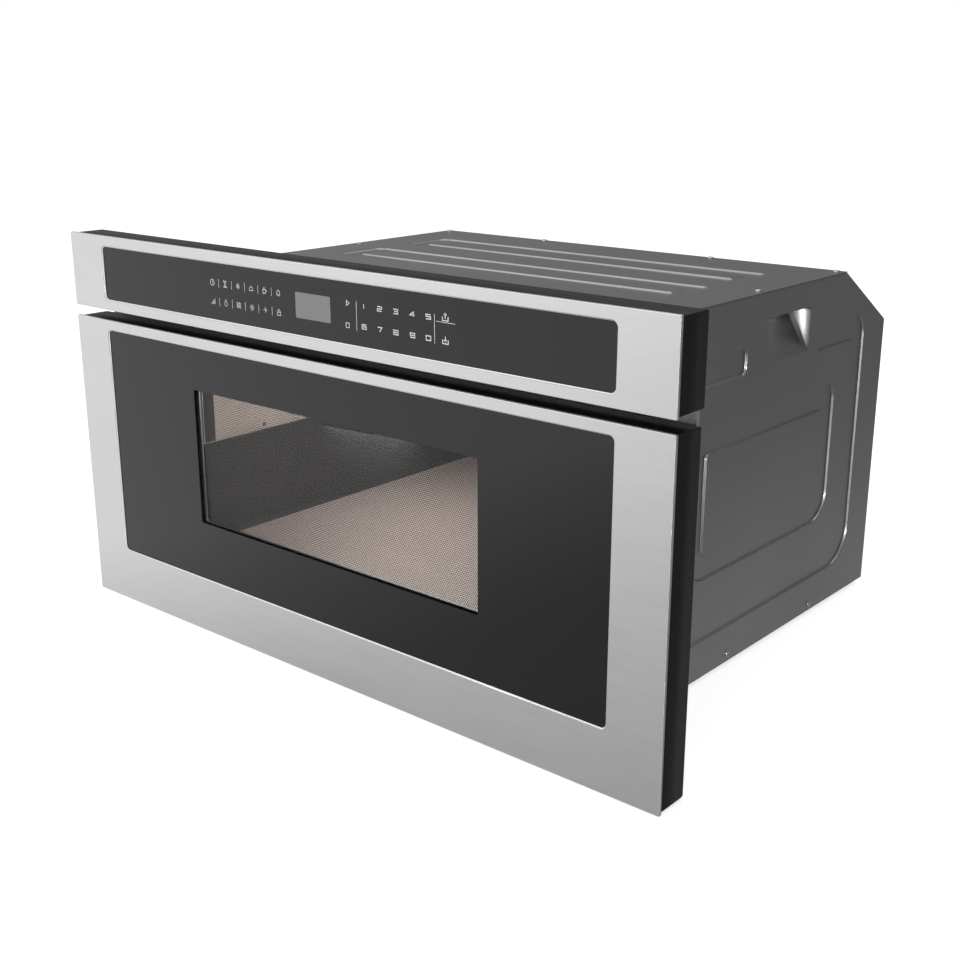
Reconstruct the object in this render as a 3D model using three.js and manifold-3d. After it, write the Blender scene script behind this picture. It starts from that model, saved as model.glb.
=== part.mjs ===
// Built-in microwave drawer: stainless front, cabinet, sliding oven tub and its drive.
// Millimetres, +Z up, X to the viewer's right, the front looks along -Y.
// Inside the unit group y = 0 is the front face; the group centres the depth on the origin.
import * as THREE from 'three';
import Module from 'manifold-3d';
import { mergeVertices } from 'three/addons/utils/BufferGeometryUtils.js';

const wasm = await Module();
wasm.setup();

// ---------------------------------------------------------------- driving dimensions

// Gaps between neighbours
const SEAT_GAP = 0.3;
const RUNNING_GAP = 0.5;

// Sheet and wall thicknesses
const SHEET = 1.0;
const FRAME_SHEET = 1.2;
const SKIN_SHEET = 1.2;
const BRACKET_SHEET = 1.5;
const HOUSING_WALL = 2.5;
const GLASS_THICKNESS = 4;
const FASCIA_GLASS_THICKNESS = 3;

// Oven space
const TUB_INNER_WIDTH = 442.6;
const TUB_HEIGHT = 105;
const TUB_SHEET = 1.2;
const TUB_DRAFT = 5;
const TUB_CORNER = 12;
const TUB_RIM = 2.5;
const PLATE_THICKNESS = 3.5;
const PLATE_MARGIN = 9;
const OVEN_HEIGHT = 182;
const CAVITY_DEPTH = 428;
const TUB_SIDE_CLEARANCE = 4.5;
const TUB_UNDER_CLEARANCE = 3;
const TUB_REAR_CLEARANCE = 4.2;

// Heights under and over the oven space
const FOOT_HEIGHT = 5;
const UNDERFLOOR = 76;
const DISH_DEPTH = 21;
const DISH_RADIUS = 98;
const DISH_SLOPE = 12;
const DISH_PORT = 30;
const CAVITY_LEG = { x0: 62, x1: 205 };
const CAVITY_VENT = { pitch: 18, half: 3, drop: 22, height: 24 };
const WAVEGUIDE_HEIGHT = 34;
const WAVEGUIDE_WIDTH = 80;
const STIRRER_MOTOR_HEIGHT = 18;
const ROOF_SPACE = 23.1;

// Cabinet
const SIDE_SPACE = 45.4;
const SIDE_REAR_OVERHANG = 5.6;
const CHAMFER_RUN = 100.8;
const CHAMFER_DROP = 63;
const FLANGE = 12;

// Front
const FRONT_OVERHANG = 105.6;
const FRONT_CLEARANCE = 1;
const DOOR_DEPTH = 38;
const DOOR_STANDOFF = 3;
const FASCIA_OVER_DOOR = 1.7;
const DOOR_TOP_MARGIN = 14.3;
const FRONT_GAP = 11;
const FASCIA_HEIGHT = 77.5;
const FRAME_INSET = 8;
const FRAME_RETURN = 2.5;
const SKIN_RETURN = 3;
const SKIN_BEVEL = 1;
const SIDE_BORDER = 55;
const DOOR_TOP_BORDER = 10.8;
const DOOR_BOTTOM_BORDER = 59;
const FASCIA_BORDER = 11.2;
const OPENING_CORNER = 5;
const HOUSING_INSET = 1;
const GLASS_LAP = 3;
const GLASS_RECESS = 0.4;
const CHOKE_WIDTH = 30;
const CHOKE_LIP = 10;
const DOOR_PLATE_DEPTH = 27;
const WINDOW_WIDTH = 376;
const WINDOW_HEIGHT = 141;
const WINDOW_SILL = 31;
const SCREEN_LAP = 5;
const SCREEN_SHEET = 0.6;

// Display and touch board
const DISPLAY_WIDTH = 46;
const DISPLAY_HEIGHT = 23.6;
const DISPLAY_OFFSET = -5.5;
const DISPLAY_DEPTH = 9;
const TOUCH_BOARD_WIDTH = 360;
const BOARD_THICKNESS = 1.6;

// Pressed ring bands of the side panels
const BAND_DEPTH = 3;
const BAND_SLOPE = 2.5;
const BAND_WIDTH = 26;
const OUTER_RING_FRONT = 43;
const OUTER_RING_REAR = 48;
const OUTER_RING_FOOT = 38;
const OUTER_RING_TOP = 49;
const INNER_RING_FRONT = 114;
const INNER_RING_REAR = 60.5;
const INNER_RING_FOOT = 64.5;
const INNER_RING_TOP = 65.5;
const RING_FOOT_CORNER = 40;
const RING_TOP_CORNER = 22;

// Pressed rings of the top panel
const TOP_RING_WIDTH = 448;
const TOP_RING_LENGTH = 70;
const TOP_RING_BAND = 21.5;
const TOP_RING_GAP = 40;
const TOP_RING_REAR = 67.5;
const TOP_RING_CORNER = 10;

// Hand pocket of the side panels
const POCKET_LENGTH = 89;
const POCKET_HEIGHT = 45;
const POCKET_DEPTH = 27;
const POCKET_REAR_RUN = 6;
const POCKET_WALL_SHARE = 0.68;
const POCKET_REAR = 176;
const POCKET_BELOW_ROOF = 26.3;
const POCKET_BREAK = 18;
const RING_BREAK_FRONT = 32;

// Slides, drive and drawer frame
const DRAWER_TRAVEL = 381;
const RAIL_HEIGHT = 40;
const RAIL_WIDTH = 12;
const RAIL_SHEET = 1.4;
const RAIL_LENGTH = 420;
const RAIL_CENTRE = 32;
const RAIL_INSET = 21.4;
const RAIL_LIP = 4.5;
const RAIL_CORE_HEIGHT = 21;
const RAIL_STAGGER = 4;
const ARM_MARGIN = 2;
const ARM_FOOT_WIDTH = 24;
const ARM_CHAMFER = 8;
const ARM_SLOT = { length: 50, height: 12 };
const BRACKET_WINDOW = { length: 48, height: 18, corner: 6 };
const BRACKET_FOOT = 14;
const RACK_MODULE = 2;
const PINION_TEETH = 18;
const PRESSURE_ANGLE = THREE.MathUtils.degToRad(20);
const TOOTH_BACKLASH = 0.3;
const RACK_WIDTH = 12;
const RACK_BACK = 10;
const RACK_TANG = { width: 32, drop: 26, lap: 2 };
const PINION_OFFSET = 24;
const PINION_WIDTH = 14;
const PINION_HUB = { radius: 7, step: 2 };
const PINION_SHAFT = { radius: 4, near: 7, far: 12 };
const CROSS_MEMBER_HEIGHT = 7.5;
const CROSS_MEMBER_DEPTH = 22;
const CROSS_MEMBER_SETBACK = 8;
const CROSS_MEMBER_LIP_INSET = 5;
const GEARBOX = { width: 22, length: 64, ahead: 18, corner: 7, overlap: 1 };
const BEARING_PLATE = { thickness: 4, length: 38, ahead: 14, corner: 5, rise: 9 };
const MOTOR_CAN = { radius: 17, length: 41, behind: 28, drop: 6 };
const MOTOR_CAP = { radius: 6, length: 4 };
const MOTOR_FOOT = { width: 14, thickness: 2, inset: 2 };

// Hooks and interlocks
const LATCH_OFFSET = 160;
const HOOK_RISE = 22;
const HOOK_CLEARANCE = 3.5;
const HOOK = { thickness: 3, height: 10, reach: 44, nose: 10, barb: 6, flange: 7 };
const SWITCH = { width: 10, length: 28, height: 16, drop: 4, setback: 14, plunger: 1.6, tab: 7 };
const INTERLOCK = { length: 38, setback: 8, rise: 14, foot: 18 };

// Rear bay
const TRANSFORMER_WIDTH = 110;
const TRANSFORMER_DEPTH = 92;
const TRANSFORMER_HEIGHT = 86;
const TRANSFORMER_OFFSET = -170;
const CORE_DEPTH = 60;
const CORE_LEG = { half: 15, window: 20 };
const CORE_PLATE = { thickness: 3, lap: 8, inset: 6 };
const CAPACITOR = { x: -96, length: 88, width: 52, height: 32, lift: 1 };
const CAPACITOR_CLAMP = { x: -64, width: 24, lap: 8, thickness: 2 };
const CAPACITOR_TAB = { length: 10, half: 3, spread: 12, thickness: 0.8 };
const BAY_CLEARANCE = 8;
const FAN_SIZE = 128;
const FAN_DEPTH = 38;
const FAN_BORE = 57;
const FAN_OFFSET = 150;
const FAN_BLADES = 7;
const FAN_DROP = 16;
const FAN_FLANGE = { front: 4, rear: 5, corner: 8 };
const FAN_MOTOR = { radius: 24, ahead: 12, behind: 10, ring: 5 };
const FAN_SHAFT = { radius: 2.5, length: 16 };
const FAN_HUB = { radius: 20, half: 9, behind: 22 };
const DUCT_SHEET = 1.5;
const MAGNETRON_WIDTH = 94;
const MAGNETRON_DEPTH = 80;
const MAGNETRON_HEIGHT = 82;
const MAGNETRON_FINS = 6;
const MAGNETRON_YOKE = 2;
const MAGNETRON_FILTER = { half: 30, inset: 8, height: 22 };
const ANODE_RADIUS = 20;
const ANTENNA_RADIUS = 9;
const ANTENNA_CLEARANCE = 9;

// Stirrer under the ceiling and its motor
const STIRRER_DROP = 7;
const STIRRER_CLEARANCE = 24;
const STIRRER_VANE = { root: 6, tip: 22, half: 14, rise: 5, step: 4, thickness: 1 };
const STIRRER_HUB = { radius: 12, below: 3, above: 5 };
const STIRRER_SHAFT = { radius: 3, entry: 10 };
const STIRRER_MOTOR = { radius: 25, lug: 35, lugHalf: 8, plug: 8 };
const STIRRER_COVER = { lap: 10, thickness: 2, corner: 14 };

// Grille, louvres and gland of the rear panel
const GRILLE_PITCH = 13;
const GRILLE_SLOT = 4.5;
const LOUVRES = {
  x0: -200, z0: 180, columns: 3, rows: 4, width: 52, gap: 12, pitch: 22, rise: 4.5, hood: 3.5,
};
const GLAND = { x: -225, z: 128, radius: 9, flange: 4, nut: 3, length: 8, bore: 5 };
const CHEEK_DEPTH = 10;

// Base pan
const PAN_RIM = 13;
const PAN_FOOT = { half: 36, depth: 16, setback: 50, inset: 22, draft: 5 };
const PAN_VENT = { pitch: 30, half: 3, length: 80 };

// Electronics over the oven and the oven lamp
const POWER_BOARD = { width: 120, length: 114, stand: 14, inset: 22, setback: 18, parts: 30 };
const FILTER_BOARD = { width: 84, length: 44, stand: 3, inset: 110, setback: 24, parts: 18 };
const BOARD_POST = { radius: 3.5, inset: 4 };
const LAMP = { radius: 13, length: 20, tip: 9, tipLength: 11, plate: 1.5, setback: 128, drop: 28 };

// ---------------------------------------------------------------- derived places

// Heights
const BASE_TOP = FOOT_HEIGHT + SHEET;
const CAVITY_FLOOR = BASE_TOP + UNDERFLOOR + SHEET;
const TUB_BOTTOM = CAVITY_FLOOR + TUB_UNDER_CLEARANCE;
const PLATE_BOTTOM = TUB_BOTTOM + TUB_SHEET + SEAT_GAP;
const OVEN_FLOOR = PLATE_BOTTOM + PLATE_THICKNESS;
const TUB_TOP = TUB_BOTTOM + TUB_HEIGHT;
const CEILING = OVEN_FLOOR + OVEN_HEIGHT;
const DISH_TOP = CEILING + DISH_DEPTH + SHEET;
const WAVEGUIDE_BOTTOM = DISH_TOP + SEAT_GAP;
const WAVEGUIDE_TOP = WAVEGUIDE_BOTTOM + WAVEGUIDE_HEIGHT;
const STIRRER_MOTOR_TOP = WAVEGUIDE_TOP + SEAT_GAP + STIRRER_MOTOR_HEIGHT;
const ROOF = STIRRER_MOTOR_TOP + ROOF_SPACE;
const CABINET_TOP = ROOF + SHEET;
const CABINET_FOOT = FOOT_HEIGHT + SEAT_GAP;
const DOOR_PLATE_FOOT = CAVITY_FLOOR - CHOKE_WIDTH;
const DOOR_PLATE_TOP = CEILING + CHOKE_WIDTH;
const DOOR_TOP = DOOR_PLATE_TOP + DOOR_TOP_MARGIN;
const FASCIA_FOOT = DOOR_TOP + FRONT_GAP;
const FASCIA_TOP = FASCIA_FOOT + FASCIA_HEIGHT;
const DISPLAY_CENTRE = FASCIA_FOOT + FASCIA_HEIGHT / 2;

// Half widths
const TUB_HALF = TUB_INNER_WIDTH / 2 + TUB_SHEET;
const CAVITY_HALF = TUB_HALF + TUB_SIDE_CLEARANCE;
const CAVITY_OUTER = CAVITY_HALF + SHEET;
const SIDE_INNER = CAVITY_OUTER + SIDE_SPACE;
const CABINET_HALF = SIDE_INNER + SHEET;
const FRONT_HALF = CABINET_HALF + FRONT_OVERHANG;
const FRAME_HALF = FRONT_HALF - FRAME_INSET;
const DOOR_PLATE_HALF = CAVITY_HALF + CHOKE_WIDTH;
const WINDOW_HALF = WINDOW_WIDTH / 2;
const RAIL_FACE = SIDE_INNER - RAIL_INSET;

// Depths behind the front face
const HOUSING_FRONT = SKIN_RETURN + SEAT_GAP;
const GLASS_FRONT = SKIN_SHEET + GLASS_RECESS;
const GLASS_REAR = GLASS_FRONT + GLASS_THICKNESS;
const FASCIA_DEPTH = DOOR_DEPTH + FASCIA_OVER_DOOR;
const FRAME_FACE = DOOR_DEPTH + DOOR_STANDOFF;
const FRAME_REAR = FRAME_FACE + FRAME_SHEET;
const CAVITY_FRONT = FRAME_REAR + SEAT_GAP;
const CAVITY_REAR = FRAME_REAR + CAVITY_DEPTH;
const TUB_REAR = CAVITY_REAR - TUB_REAR_CLEARANCE;
const SLIDE_FRONT = FRAME_REAR + RAIL_STAGGER;
const RAIL_END = SLIDE_FRONT + RAIL_LENGTH;
const LEG_FRONT = Math.max(CAVITY_REAR + SEAT_GAP, RAIL_END + RUNNING_GAP);
const BAY_FRONT = LEG_FRONT + SHEET + BAY_CLEARANCE;
const REAR_PANEL = BAY_FRONT + TRANSFORMER_DEPTH + BAY_CLEARANCE;
const UNIT_DEPTH = REAR_PANEL + SHEET + SIDE_REAR_OVERHANG;
const CHAMFER_START = UNIT_DEPTH - CHAMFER_RUN;
const DOOR_PLATE_REAR = DOOR_DEPTH - HOUSING_WALL + RUNNING_GAP;
const DOOR_PLATE_FRONT = DOOR_PLATE_REAR - FRAME_SHEET - DOOR_PLATE_DEPTH;
const STIRRER_Y = FRAME_REAR + CAVITY_DEPTH / 2;
const BAY_CENTRE = BAY_FRONT + TRANSFORMER_DEPTH / 2;

// Drive: the rack hangs under the cross member and the pinion meshes from below
const CROSS_MEMBER_TOP = CAVITY_FLOOR - SHEET - 2 * RUNNING_GAP;
const CROSS_MEMBER_FOOT = CROSS_MEMBER_TOP - CROSS_MEMBER_HEIGHT;
const RACK_TOP = CROSS_MEMBER_FOOT - SEAT_GAP;
const RACK_PITCH_LINE = RACK_TOP - RACK_BACK;
const PINION_RADIUS = RACK_MODULE * PINION_TEETH / 2;
const TOOTH_PITCH = Math.PI * RACK_MODULE;
const PINION_Y = FRAME_REAR + PINION_OFFSET;
const PINION_Z = RACK_PITCH_LINE - PINION_RADIUS;
const ARM_FACE = RAIL_FACE - RAIL_WIDTH - RAIL_SHEET / 2 - 2 * SEAT_GAP;
const CROSS_MEMBER_REAR = RAIL_END - CROSS_MEMBER_SETBACK;
const HOOK_FOOT = BASE_TOP + HOOK_RISE;
const HOOK_TOP = HOOK_FOOT + HOOK.height;
const SWITCH_FACE = LATCH_OFFSET + HOOK.thickness + 2 * SEAT_GAP;

// ---------------------------------------------------------------- materials

/** One finish of the object: its colour, roughness and metalness. */
function finish(color, roughness, metalness) {
  return new THREE.MeshStandardMaterial({ color, roughness, metalness });
}

const FINISHES = {
  brushedSteel: finish(0xc8c8c8, 0.34, 1),
  blackPlastic: finish(0x1d1d1d, 0.5, 0),
  darkGlass: finish(0x1f1f20, 0.12, 0),
  cabinetSteel: finish(0x555555, 0.45, 0.6),
  zincSteel: finish(0xb7b8b8, 0.42, 0.9),
  ovenEnamel: finish(0xb9a9a1, 0.5, 0.1),
  tubCoating: finish(0x4b4846, 0.55, 0.2),
  ceramicPlate: finish(0xb8a69d, 0.42, 0),
  screenMetal: finish(0x2c2b2a, 0.5, 0.4),
  display: finish(0x8f8f8f, 0.3, 0),
  mica: finish(0xc9bda6, 0.7, 0),
  greyPlastic: finish(0x6a6c6e, 0.55, 0),
  whitePlastic: finish(0xd9d7d0, 0.5, 0),
  circuitBoard: finish(0x3d6b46, 0.6, 0),
  castAluminium: finish(0xa9abad, 0.38, 1),
  copperWinding: finish(0x9a5b35, 0.45, 0.6),
  laminatedIron: finish(0x56585b, 0.5, 0.8),
  blackPart: finish(0x232325, 0.6, 0.1),
};

// ---------------------------------------------------------------- solids and shapes

/** Signed volume of an indexed triangle list; negative when the faces point inwards. */
function signedVolume(positions, index) {
  let volume = 0;
  const corner = (i) => new THREE.Vector3().fromArray(positions, 3 * index[i]);
  for (let i = 0; i < index.length; i += 3) {
    volume += corner(i).dot(corner(i + 1).cross(corner(i + 2)));
  }
  return volume / 6;
}

/** Turns a closed geometry into a solid that can be cut and joined. */
function solid(geometry) {
  const bare = geometry.clone();
  bare.deleteAttribute('normal');
  bare.deleteAttribute('uv');
  const merged = mergeVertices(bare, 1e-4);
  const positions = merged.attributes.position.array;
  const index = Uint32Array.from(merged.index.array);
  if (signedVolume(positions, index) < 0) {
    for (let i = 0; i < index.length; i += 3) {
      [index[i], index[i + 1]] = [index[i + 1], index[i]];
    }
  }
  return new wasm.Manifold(new wasm.Mesh({
    numProp: 3,
    vertProperties: Float32Array.from(positions),
    triVerts: index,
  }));
}

/** The geometry of a solid, ready for a mesh. */
function geometryOf(body) {
  const mesh = body.getMesh();
  const geometry = new THREE.BufferGeometry();
  geometry.setAttribute('position', new THREE.BufferAttribute(mesh.vertProperties, 3));
  geometry.setIndex(new THREE.BufferAttribute(mesh.triVerts, 1));
  geometry.computeVertexNormals();
  return geometry;
}

/** The same solid on the other side of the plane x = 0. */
function mirrored(body) {
  return solid(geometryOf(body).scale(-1, 1, 1));
}

/** A solid and its mirror image as one. */
function both(body) {
  return body.add(mirrored(body));
}

function joined(bodies) {
  return bodies.reduce((sum, body) => sum.add(body));
}

/** A box between two corners. */
function block(x0, x1, y0, y1, z0, z1) {
  const geometry = new THREE.BoxGeometry(x1 - x0, y1 - y0, z1 - z0);
  return solid(geometry.translate((x0 + x1) / 2, (y0 + y1) / 2, (z0 + z1) / 2));
}

/** Maps plane coordinates u, v and a depth w to x, y, z for a prism along one axis. */
const PRISM_AXES = {
  x: new THREE.Matrix4().makeBasis(
    new THREE.Vector3(0, 1, 0), new THREE.Vector3(0, 0, 1), new THREE.Vector3(1, 0, 0)),
  y: new THREE.Matrix4().makeBasis(
    new THREE.Vector3(-1, 0, 0), new THREE.Vector3(0, 0, 1), new THREE.Vector3(0, 1, 0)),
  z: new THREE.Matrix4(),
};

/**
 * A shape drawn in the plane across an axis and drawn out between two levels.
 * Across x the plane is (y, z), across y it is (x, z), across z it is (x, y).
 */
function prism(axis, shape, from, to) {
  const geometry = new THREE.ExtrudeGeometry(shape, { depth: to - from, bevelEnabled: false });
  geometry.translate(0, 0, from).applyMatrix4(PRISM_AXES[axis]);
  if (axis === 'y') {
    geometry.scale(-1, 1, 1);
  }
  return solid(geometry);
}

function polygon(points) {
  return new THREE.Shape(points.map(([u, v]) => new THREE.Vector2(u, v)));
}

/** A cross-section of bent sheet: a centre line with mitred corners and a thickness. */
function strip(line, thickness) {
  const half = thickness / 2;
  const points = line.map(([u, v]) => new THREE.Vector2(u, v));
  const side = (sign) => points.map((point, i) => {
    const before = point.clone().sub(points[Math.max(i - 1, 0)]).normalize();
    const after = points[Math.min(i + 1, points.length - 1)].clone().sub(point).normalize();
    const along = before.clone().add(after).normalize();
    const straight = i === 0 || i === points.length - 1;
    const reach = straight ? half : half / Math.sqrt((1 + before.dot(after)) / 2);
    return new THREE.Vector2(-along.y, along.x).multiplyScalar(sign * reach).add(point);
  });
  return new THREE.Shape([...side(1), ...side(-1).reverse()]);
}

/** Corner points of a rounded rectangle {u0, u1, v0, v1}; radii start at the corner (u1, v0). */
function roundedLoop(rect, radii, steps = 3) {
  const { u0, u1, v0, v1 } = rect;
  const [ra, rb, rc, rd] = Array.isArray(radii) ? radii : [radii, radii, radii, radii];
  const corners = [
    [u1 - ra, v0 + ra, ra, -Math.PI / 2],
    [u1 - rb, v1 - rb, rb, 0],
    [u0 + rc, v1 - rc, rc, Math.PI / 2],
    [u0 + rd, v0 + rd, rd, Math.PI],
  ];
  return corners.flatMap(([u, v, radius, start]) => Array.from({ length: steps + 1 }, (_, i) => {
    const angle = start + Math.PI / 2 * i / steps;
    return [u + radius * Math.cos(angle), v + radius * Math.sin(angle)];
  }));
}

function roundedPlate(axis, rect, radius, from, to, steps = 2) {
  return prism(axis, polygon(roundedLoop(rect, radius, steps)), from, to);
}

/** Places a plane point (u, v) at a level along an axis. */
function placed(axis, [u, v], level) {
  return { x: [level, u, v], y: [u, level, v], z: [u, v, level] }[axis];
}

/** A solid through loops of equal point count, each at its own level along the axis. */
function loft(axis, loops, levels) {
  const count = loops[0].length;
  const positions = loops.flatMap((loop, i) => loop.flatMap((point) => placed(axis, point, levels[i])));
  const index = [];
  for (let ring = 0; ring + 1 < loops.length; ring += 1) {
    for (let i = 0; i < count; i += 1) {
      const a = ring * count + i;
      const b = ring * count + (i + 1) % count;
      index.push(a, b, b + count, a, b + count, a + count);
    }
  }
  const last = (loops.length - 1) * count;
  for (let i = 1; i + 1 < count; i += 1) {
    index.push(0, i + 1, i, last, last + i, last + i + 1);
  }
  const geometry = new THREE.BufferGeometry();
  geometry.setAttribute('position', new THREE.Float32BufferAttribute(positions, 3));
  geometry.setIndex(index);
  return solid(geometry);
}

/** A round bar along an axis. */
function rod(axis, centre, radius, from, to, sides = 24) {
  const loop = Array.from({ length: sides }, (_, i) => {
    const angle = 2 * Math.PI * i / sides;
    return [centre[0] + radius * Math.cos(angle), centre[1] + radius * Math.sin(angle)];
  });
  return prism(axis, polygon(loop), from, to);
}

/** A profile of (radius, level) turned about an upright axis through (x, y). */
function turned(profile, x, y, sides = 32) {
  const points = profile.map(([radius, level]) => new THREE.Vector2(radius, level));
  const geometry = new THREE.LatheGeometry(points, sides);
  return solid(geometry.rotateX(Math.PI / 2).translate(x, y, 0));
}

function grown(rect, amount) {
  return {
    u0: rect.u0 - amount, u1: rect.u1 + amount, v0: rect.v0 - amount, v1: rect.v1 + amount,
  };
}

/**
 * A pressed ring band between a loop and its island, as the space that the press takes.
 * It goes from a face level to a bottom level with sloping flanks.
 */
function ringBand(axis, rect, radii, band, slope, face, bottom) {
  const shift = (amount) => radii.map((radius) => Math.max(radius + amount, 1));
  const outer = [
    roundedLoop(rect, radii),
    roundedLoop(grown(rect, -slope), shift(-slope)),
  ];
  const island = [
    roundedLoop(grown(rect, -band), shift(-band)),
    roundedLoop(grown(rect, slope - band), shift(slope - band)),
  ];
  const over = face + Math.sign(face - bottom);
  const mouth = loft(axis, [outer[0], outer[0], outer[1]], [over, face, bottom]);
  return mouth.subtract(loft(axis, [island[0], island[0], island[1]], [over + (over - face), face, bottom]));
}

// ---------------------------------------------------------------- the scene graph

const unit = new THREE.Group();
unit.position.y = -UNIT_DEPTH / 2;

/** Adds one named piece to a group. */
function piece(name, body, material, parent = unit) {
  const mesh = new THREE.Mesh(geometryOf(body), material);
  mesh.name = name;
  parent.add(mesh);
  return mesh;
}

// ---------------------------------------------------------------- drawer front and fascia

/** A brushed skin with returned edges and a bevelled opening. */
function steelSkin(foot, top, openingFoot, openingTop) {
  const face = { u0: -FRONT_HALF, u1: FRONT_HALF, v0: foot, v1: top };
  const half = FRONT_HALF - SIDE_BORDER;
  const opening = { u0: -half, u1: half, v0: openingFoot, v1: openingTop };
  const shell = roundedPlate('y', face, 1, 0, SKIN_RETURN, 2)
    .subtract(roundedPlate('y', grown(face, -SKIN_SHEET), 0.5, SKIN_SHEET, SKIN_RETURN + 1, 2));
  const loops = [1, SKIN_BEVEL, 0, 0].map((grow) => roundedLoop(grown(opening, grow), OPENING_CORNER + grow));
  return shell.subtract(loft('y', loops, [-1, 0, SKIN_BEVEL, SKIN_SHEET + 1]));
}

/** The open-fronted moulded box behind a skin; its back has a large rear opening. */
function mouldedBox(foot, top, depth, rearOpening) {
  const outer = { u0: HOUSING_INSET - FRONT_HALF, u1: FRONT_HALF - HOUSING_INSET, v0: foot, v1: top };
  return roundedPlate('y', outer, 1.5, HOUSING_FRONT, depth, 2)
    .subtract(roundedPlate('y', grown(outer, -HOUSING_WALL), 1, HOUSING_FRONT - 1, depth - HOUSING_WALL, 2))
    .subtract(roundedPlate('y', rearOpening, 4, depth - HOUSING_WALL - 1, depth + 1, 2));
}

/** A rib frame that backs the edge of a glass pane. */
function glassSeat(glass, from, to, lap) {
  return roundedPlate('y', glass, 3, from, to, 2)
    .subtract(roundedPlate('y', grown(glass, -lap), 3, from - 1, to + 1, 2));
}

const doorOpening = { foot: FRONT_CLEARANCE + DOOR_BOTTOM_BORDER, top: DOOR_TOP - DOOR_TOP_BORDER };
const fasciaOpening = { foot: FASCIA_FOOT + FASCIA_BORDER, top: FASCIA_TOP - FASCIA_BORDER };

function glassRect(opening) {
  const half = FRONT_HALF - SIDE_BORDER + GLASS_LAP;
  return { u0: -half, u1: half, v0: opening.foot - GLASS_LAP, v1: opening.top + GLASS_LAP };
}

const doorGlass = glassRect(doorOpening);
const fasciaGlass = glassRect(fasciaOpening);
const doorPlateRect = {
  u0: -DOOR_PLATE_HALF, u1: DOOR_PLATE_HALF, v0: DOOR_PLATE_FOOT, v1: DOOR_PLATE_TOP,
};
const WINDOW_FOOT = OVEN_FLOOR + WINDOW_SILL;
const windowRect = {
  u0: -WINDOW_HALF, u1: WINDOW_HALF, v0: WINDOW_FOOT, v1: WINDOW_FOOT + WINDOW_HEIGHT,
};

function drawerFrontHousing() {
  const foot = FRONT_CLEARANCE + HOUSING_INSET;
  const rear = grown(doorPlateRect, RUNNING_GAP);
  const inner = DOOR_DEPTH - HOUSING_WALL;
  const shell = mouldedBox(foot, DOOR_TOP - HOUSING_INSET, DOOR_DEPTH, rear);
  const seat = glassSeat(doorGlass, GLASS_REAR + SEAT_GAP, DOOR_PLATE_REAR - CHOKE_LIP - 1, 4);
  const ribs = [-1, 1].flatMap((side) => [0.35, 0.65].map((share) => {
    const x = side * THREE.MathUtils.lerp(DOOR_PLATE_HALF, FRONT_HALF - SIDE_BORDER, share);
    return block(x - 1, x + 1, GLASS_REAR + SEAT_GAP, inner + 1, foot + 1, DOOR_TOP - HOUSING_INSET - 1);
  }));
  const footRibs = [-0.6, 0, 0.6].map((share) => {
    const x = share * FRONT_HALF;
    return block(x - 1, x + 1, GLASS_REAR + SEAT_GAP, inner + 1, foot + 1, rear.v0 - 1);
  });
  return joined([shell, seat, ...ribs, ...footRibs]);
}

/** The stamped inner plate: recess towards the window, choke flange around it. */
function doorPlate() {
  const rear = DOOR_PLATE_REAR;
  const front = DOOR_PLATE_FRONT;
  const recess = { u0: -TUB_HALF, u1: TUB_HALF, v0: TUB_BOTTOM, v1: CEILING - TUB_UNDER_CLEARANCE };
  const flange = roundedPlate('y', doorPlateRect, 4, rear - FRAME_SHEET, rear);
  const lip = roundedPlate('y', doorPlateRect, 4, rear - CHOKE_LIP, rear - FRAME_SHEET / 2)
    .subtract(roundedPlate('y', grown(doorPlateRect, -FRAME_SHEET), 3, rear - CHOKE_LIP - 1, rear));
  const inner = grown(recess, -TUB_DRAFT / 2);
  const wall = [grown(inner, FRAME_SHEET), grown(recess, FRAME_SHEET)];
  const box = loft('y', wall.map((rect) => roundedLoop(rect, 9)), [front, rear - FRAME_SHEET / 2]);
  const hollow = loft('y', [roundedLoop(inner, 8), roundedLoop(recess, 8), roundedLoop(recess, 8)],
    [front + FRAME_SHEET, rear, rear + 1]);
  return joined([flange, lip, box]).subtract(hollow)
    .subtract(roundedPlate('y', windowRect, 3, front - 1, front + FRAME_SHEET + 1));
}

function doorScreen() {
  const rear = DOOR_PLATE_FRONT - SEAT_GAP;
  return roundedPlate('y', grown(windowRect, SCREEN_LAP), 3, rear - SCREEN_SHEET, rear, 2);
}

/** The plastic ring that covers the choke around the oven mouth. */
function chokeCover() {
  const outer = grown(doorPlateRect, -1);
  const half = CAVITY_HALF + FLANGE;
  const inner = { u0: -half, u1: half, v0: TUB_BOTTOM - FLANGE - 2, v1: CEILING + FLANGE };
  const from = DOOR_PLATE_REAR + SEAT_GAP;
  const levels = [from, from + 1.2, from + 2];
  const ring = loft('y', [0, 0, -1].map((grow) => roundedLoop(grown(outer, grow), 5 + grow, 2)), levels);
  return ring.subtract(loft('y', [0, 0, 1.5].map((grow) => roundedLoop(grown(inner, grow), 6 + grow, 2)),
    [from - 1, from + 1.2, from + 2.2]));
}

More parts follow.
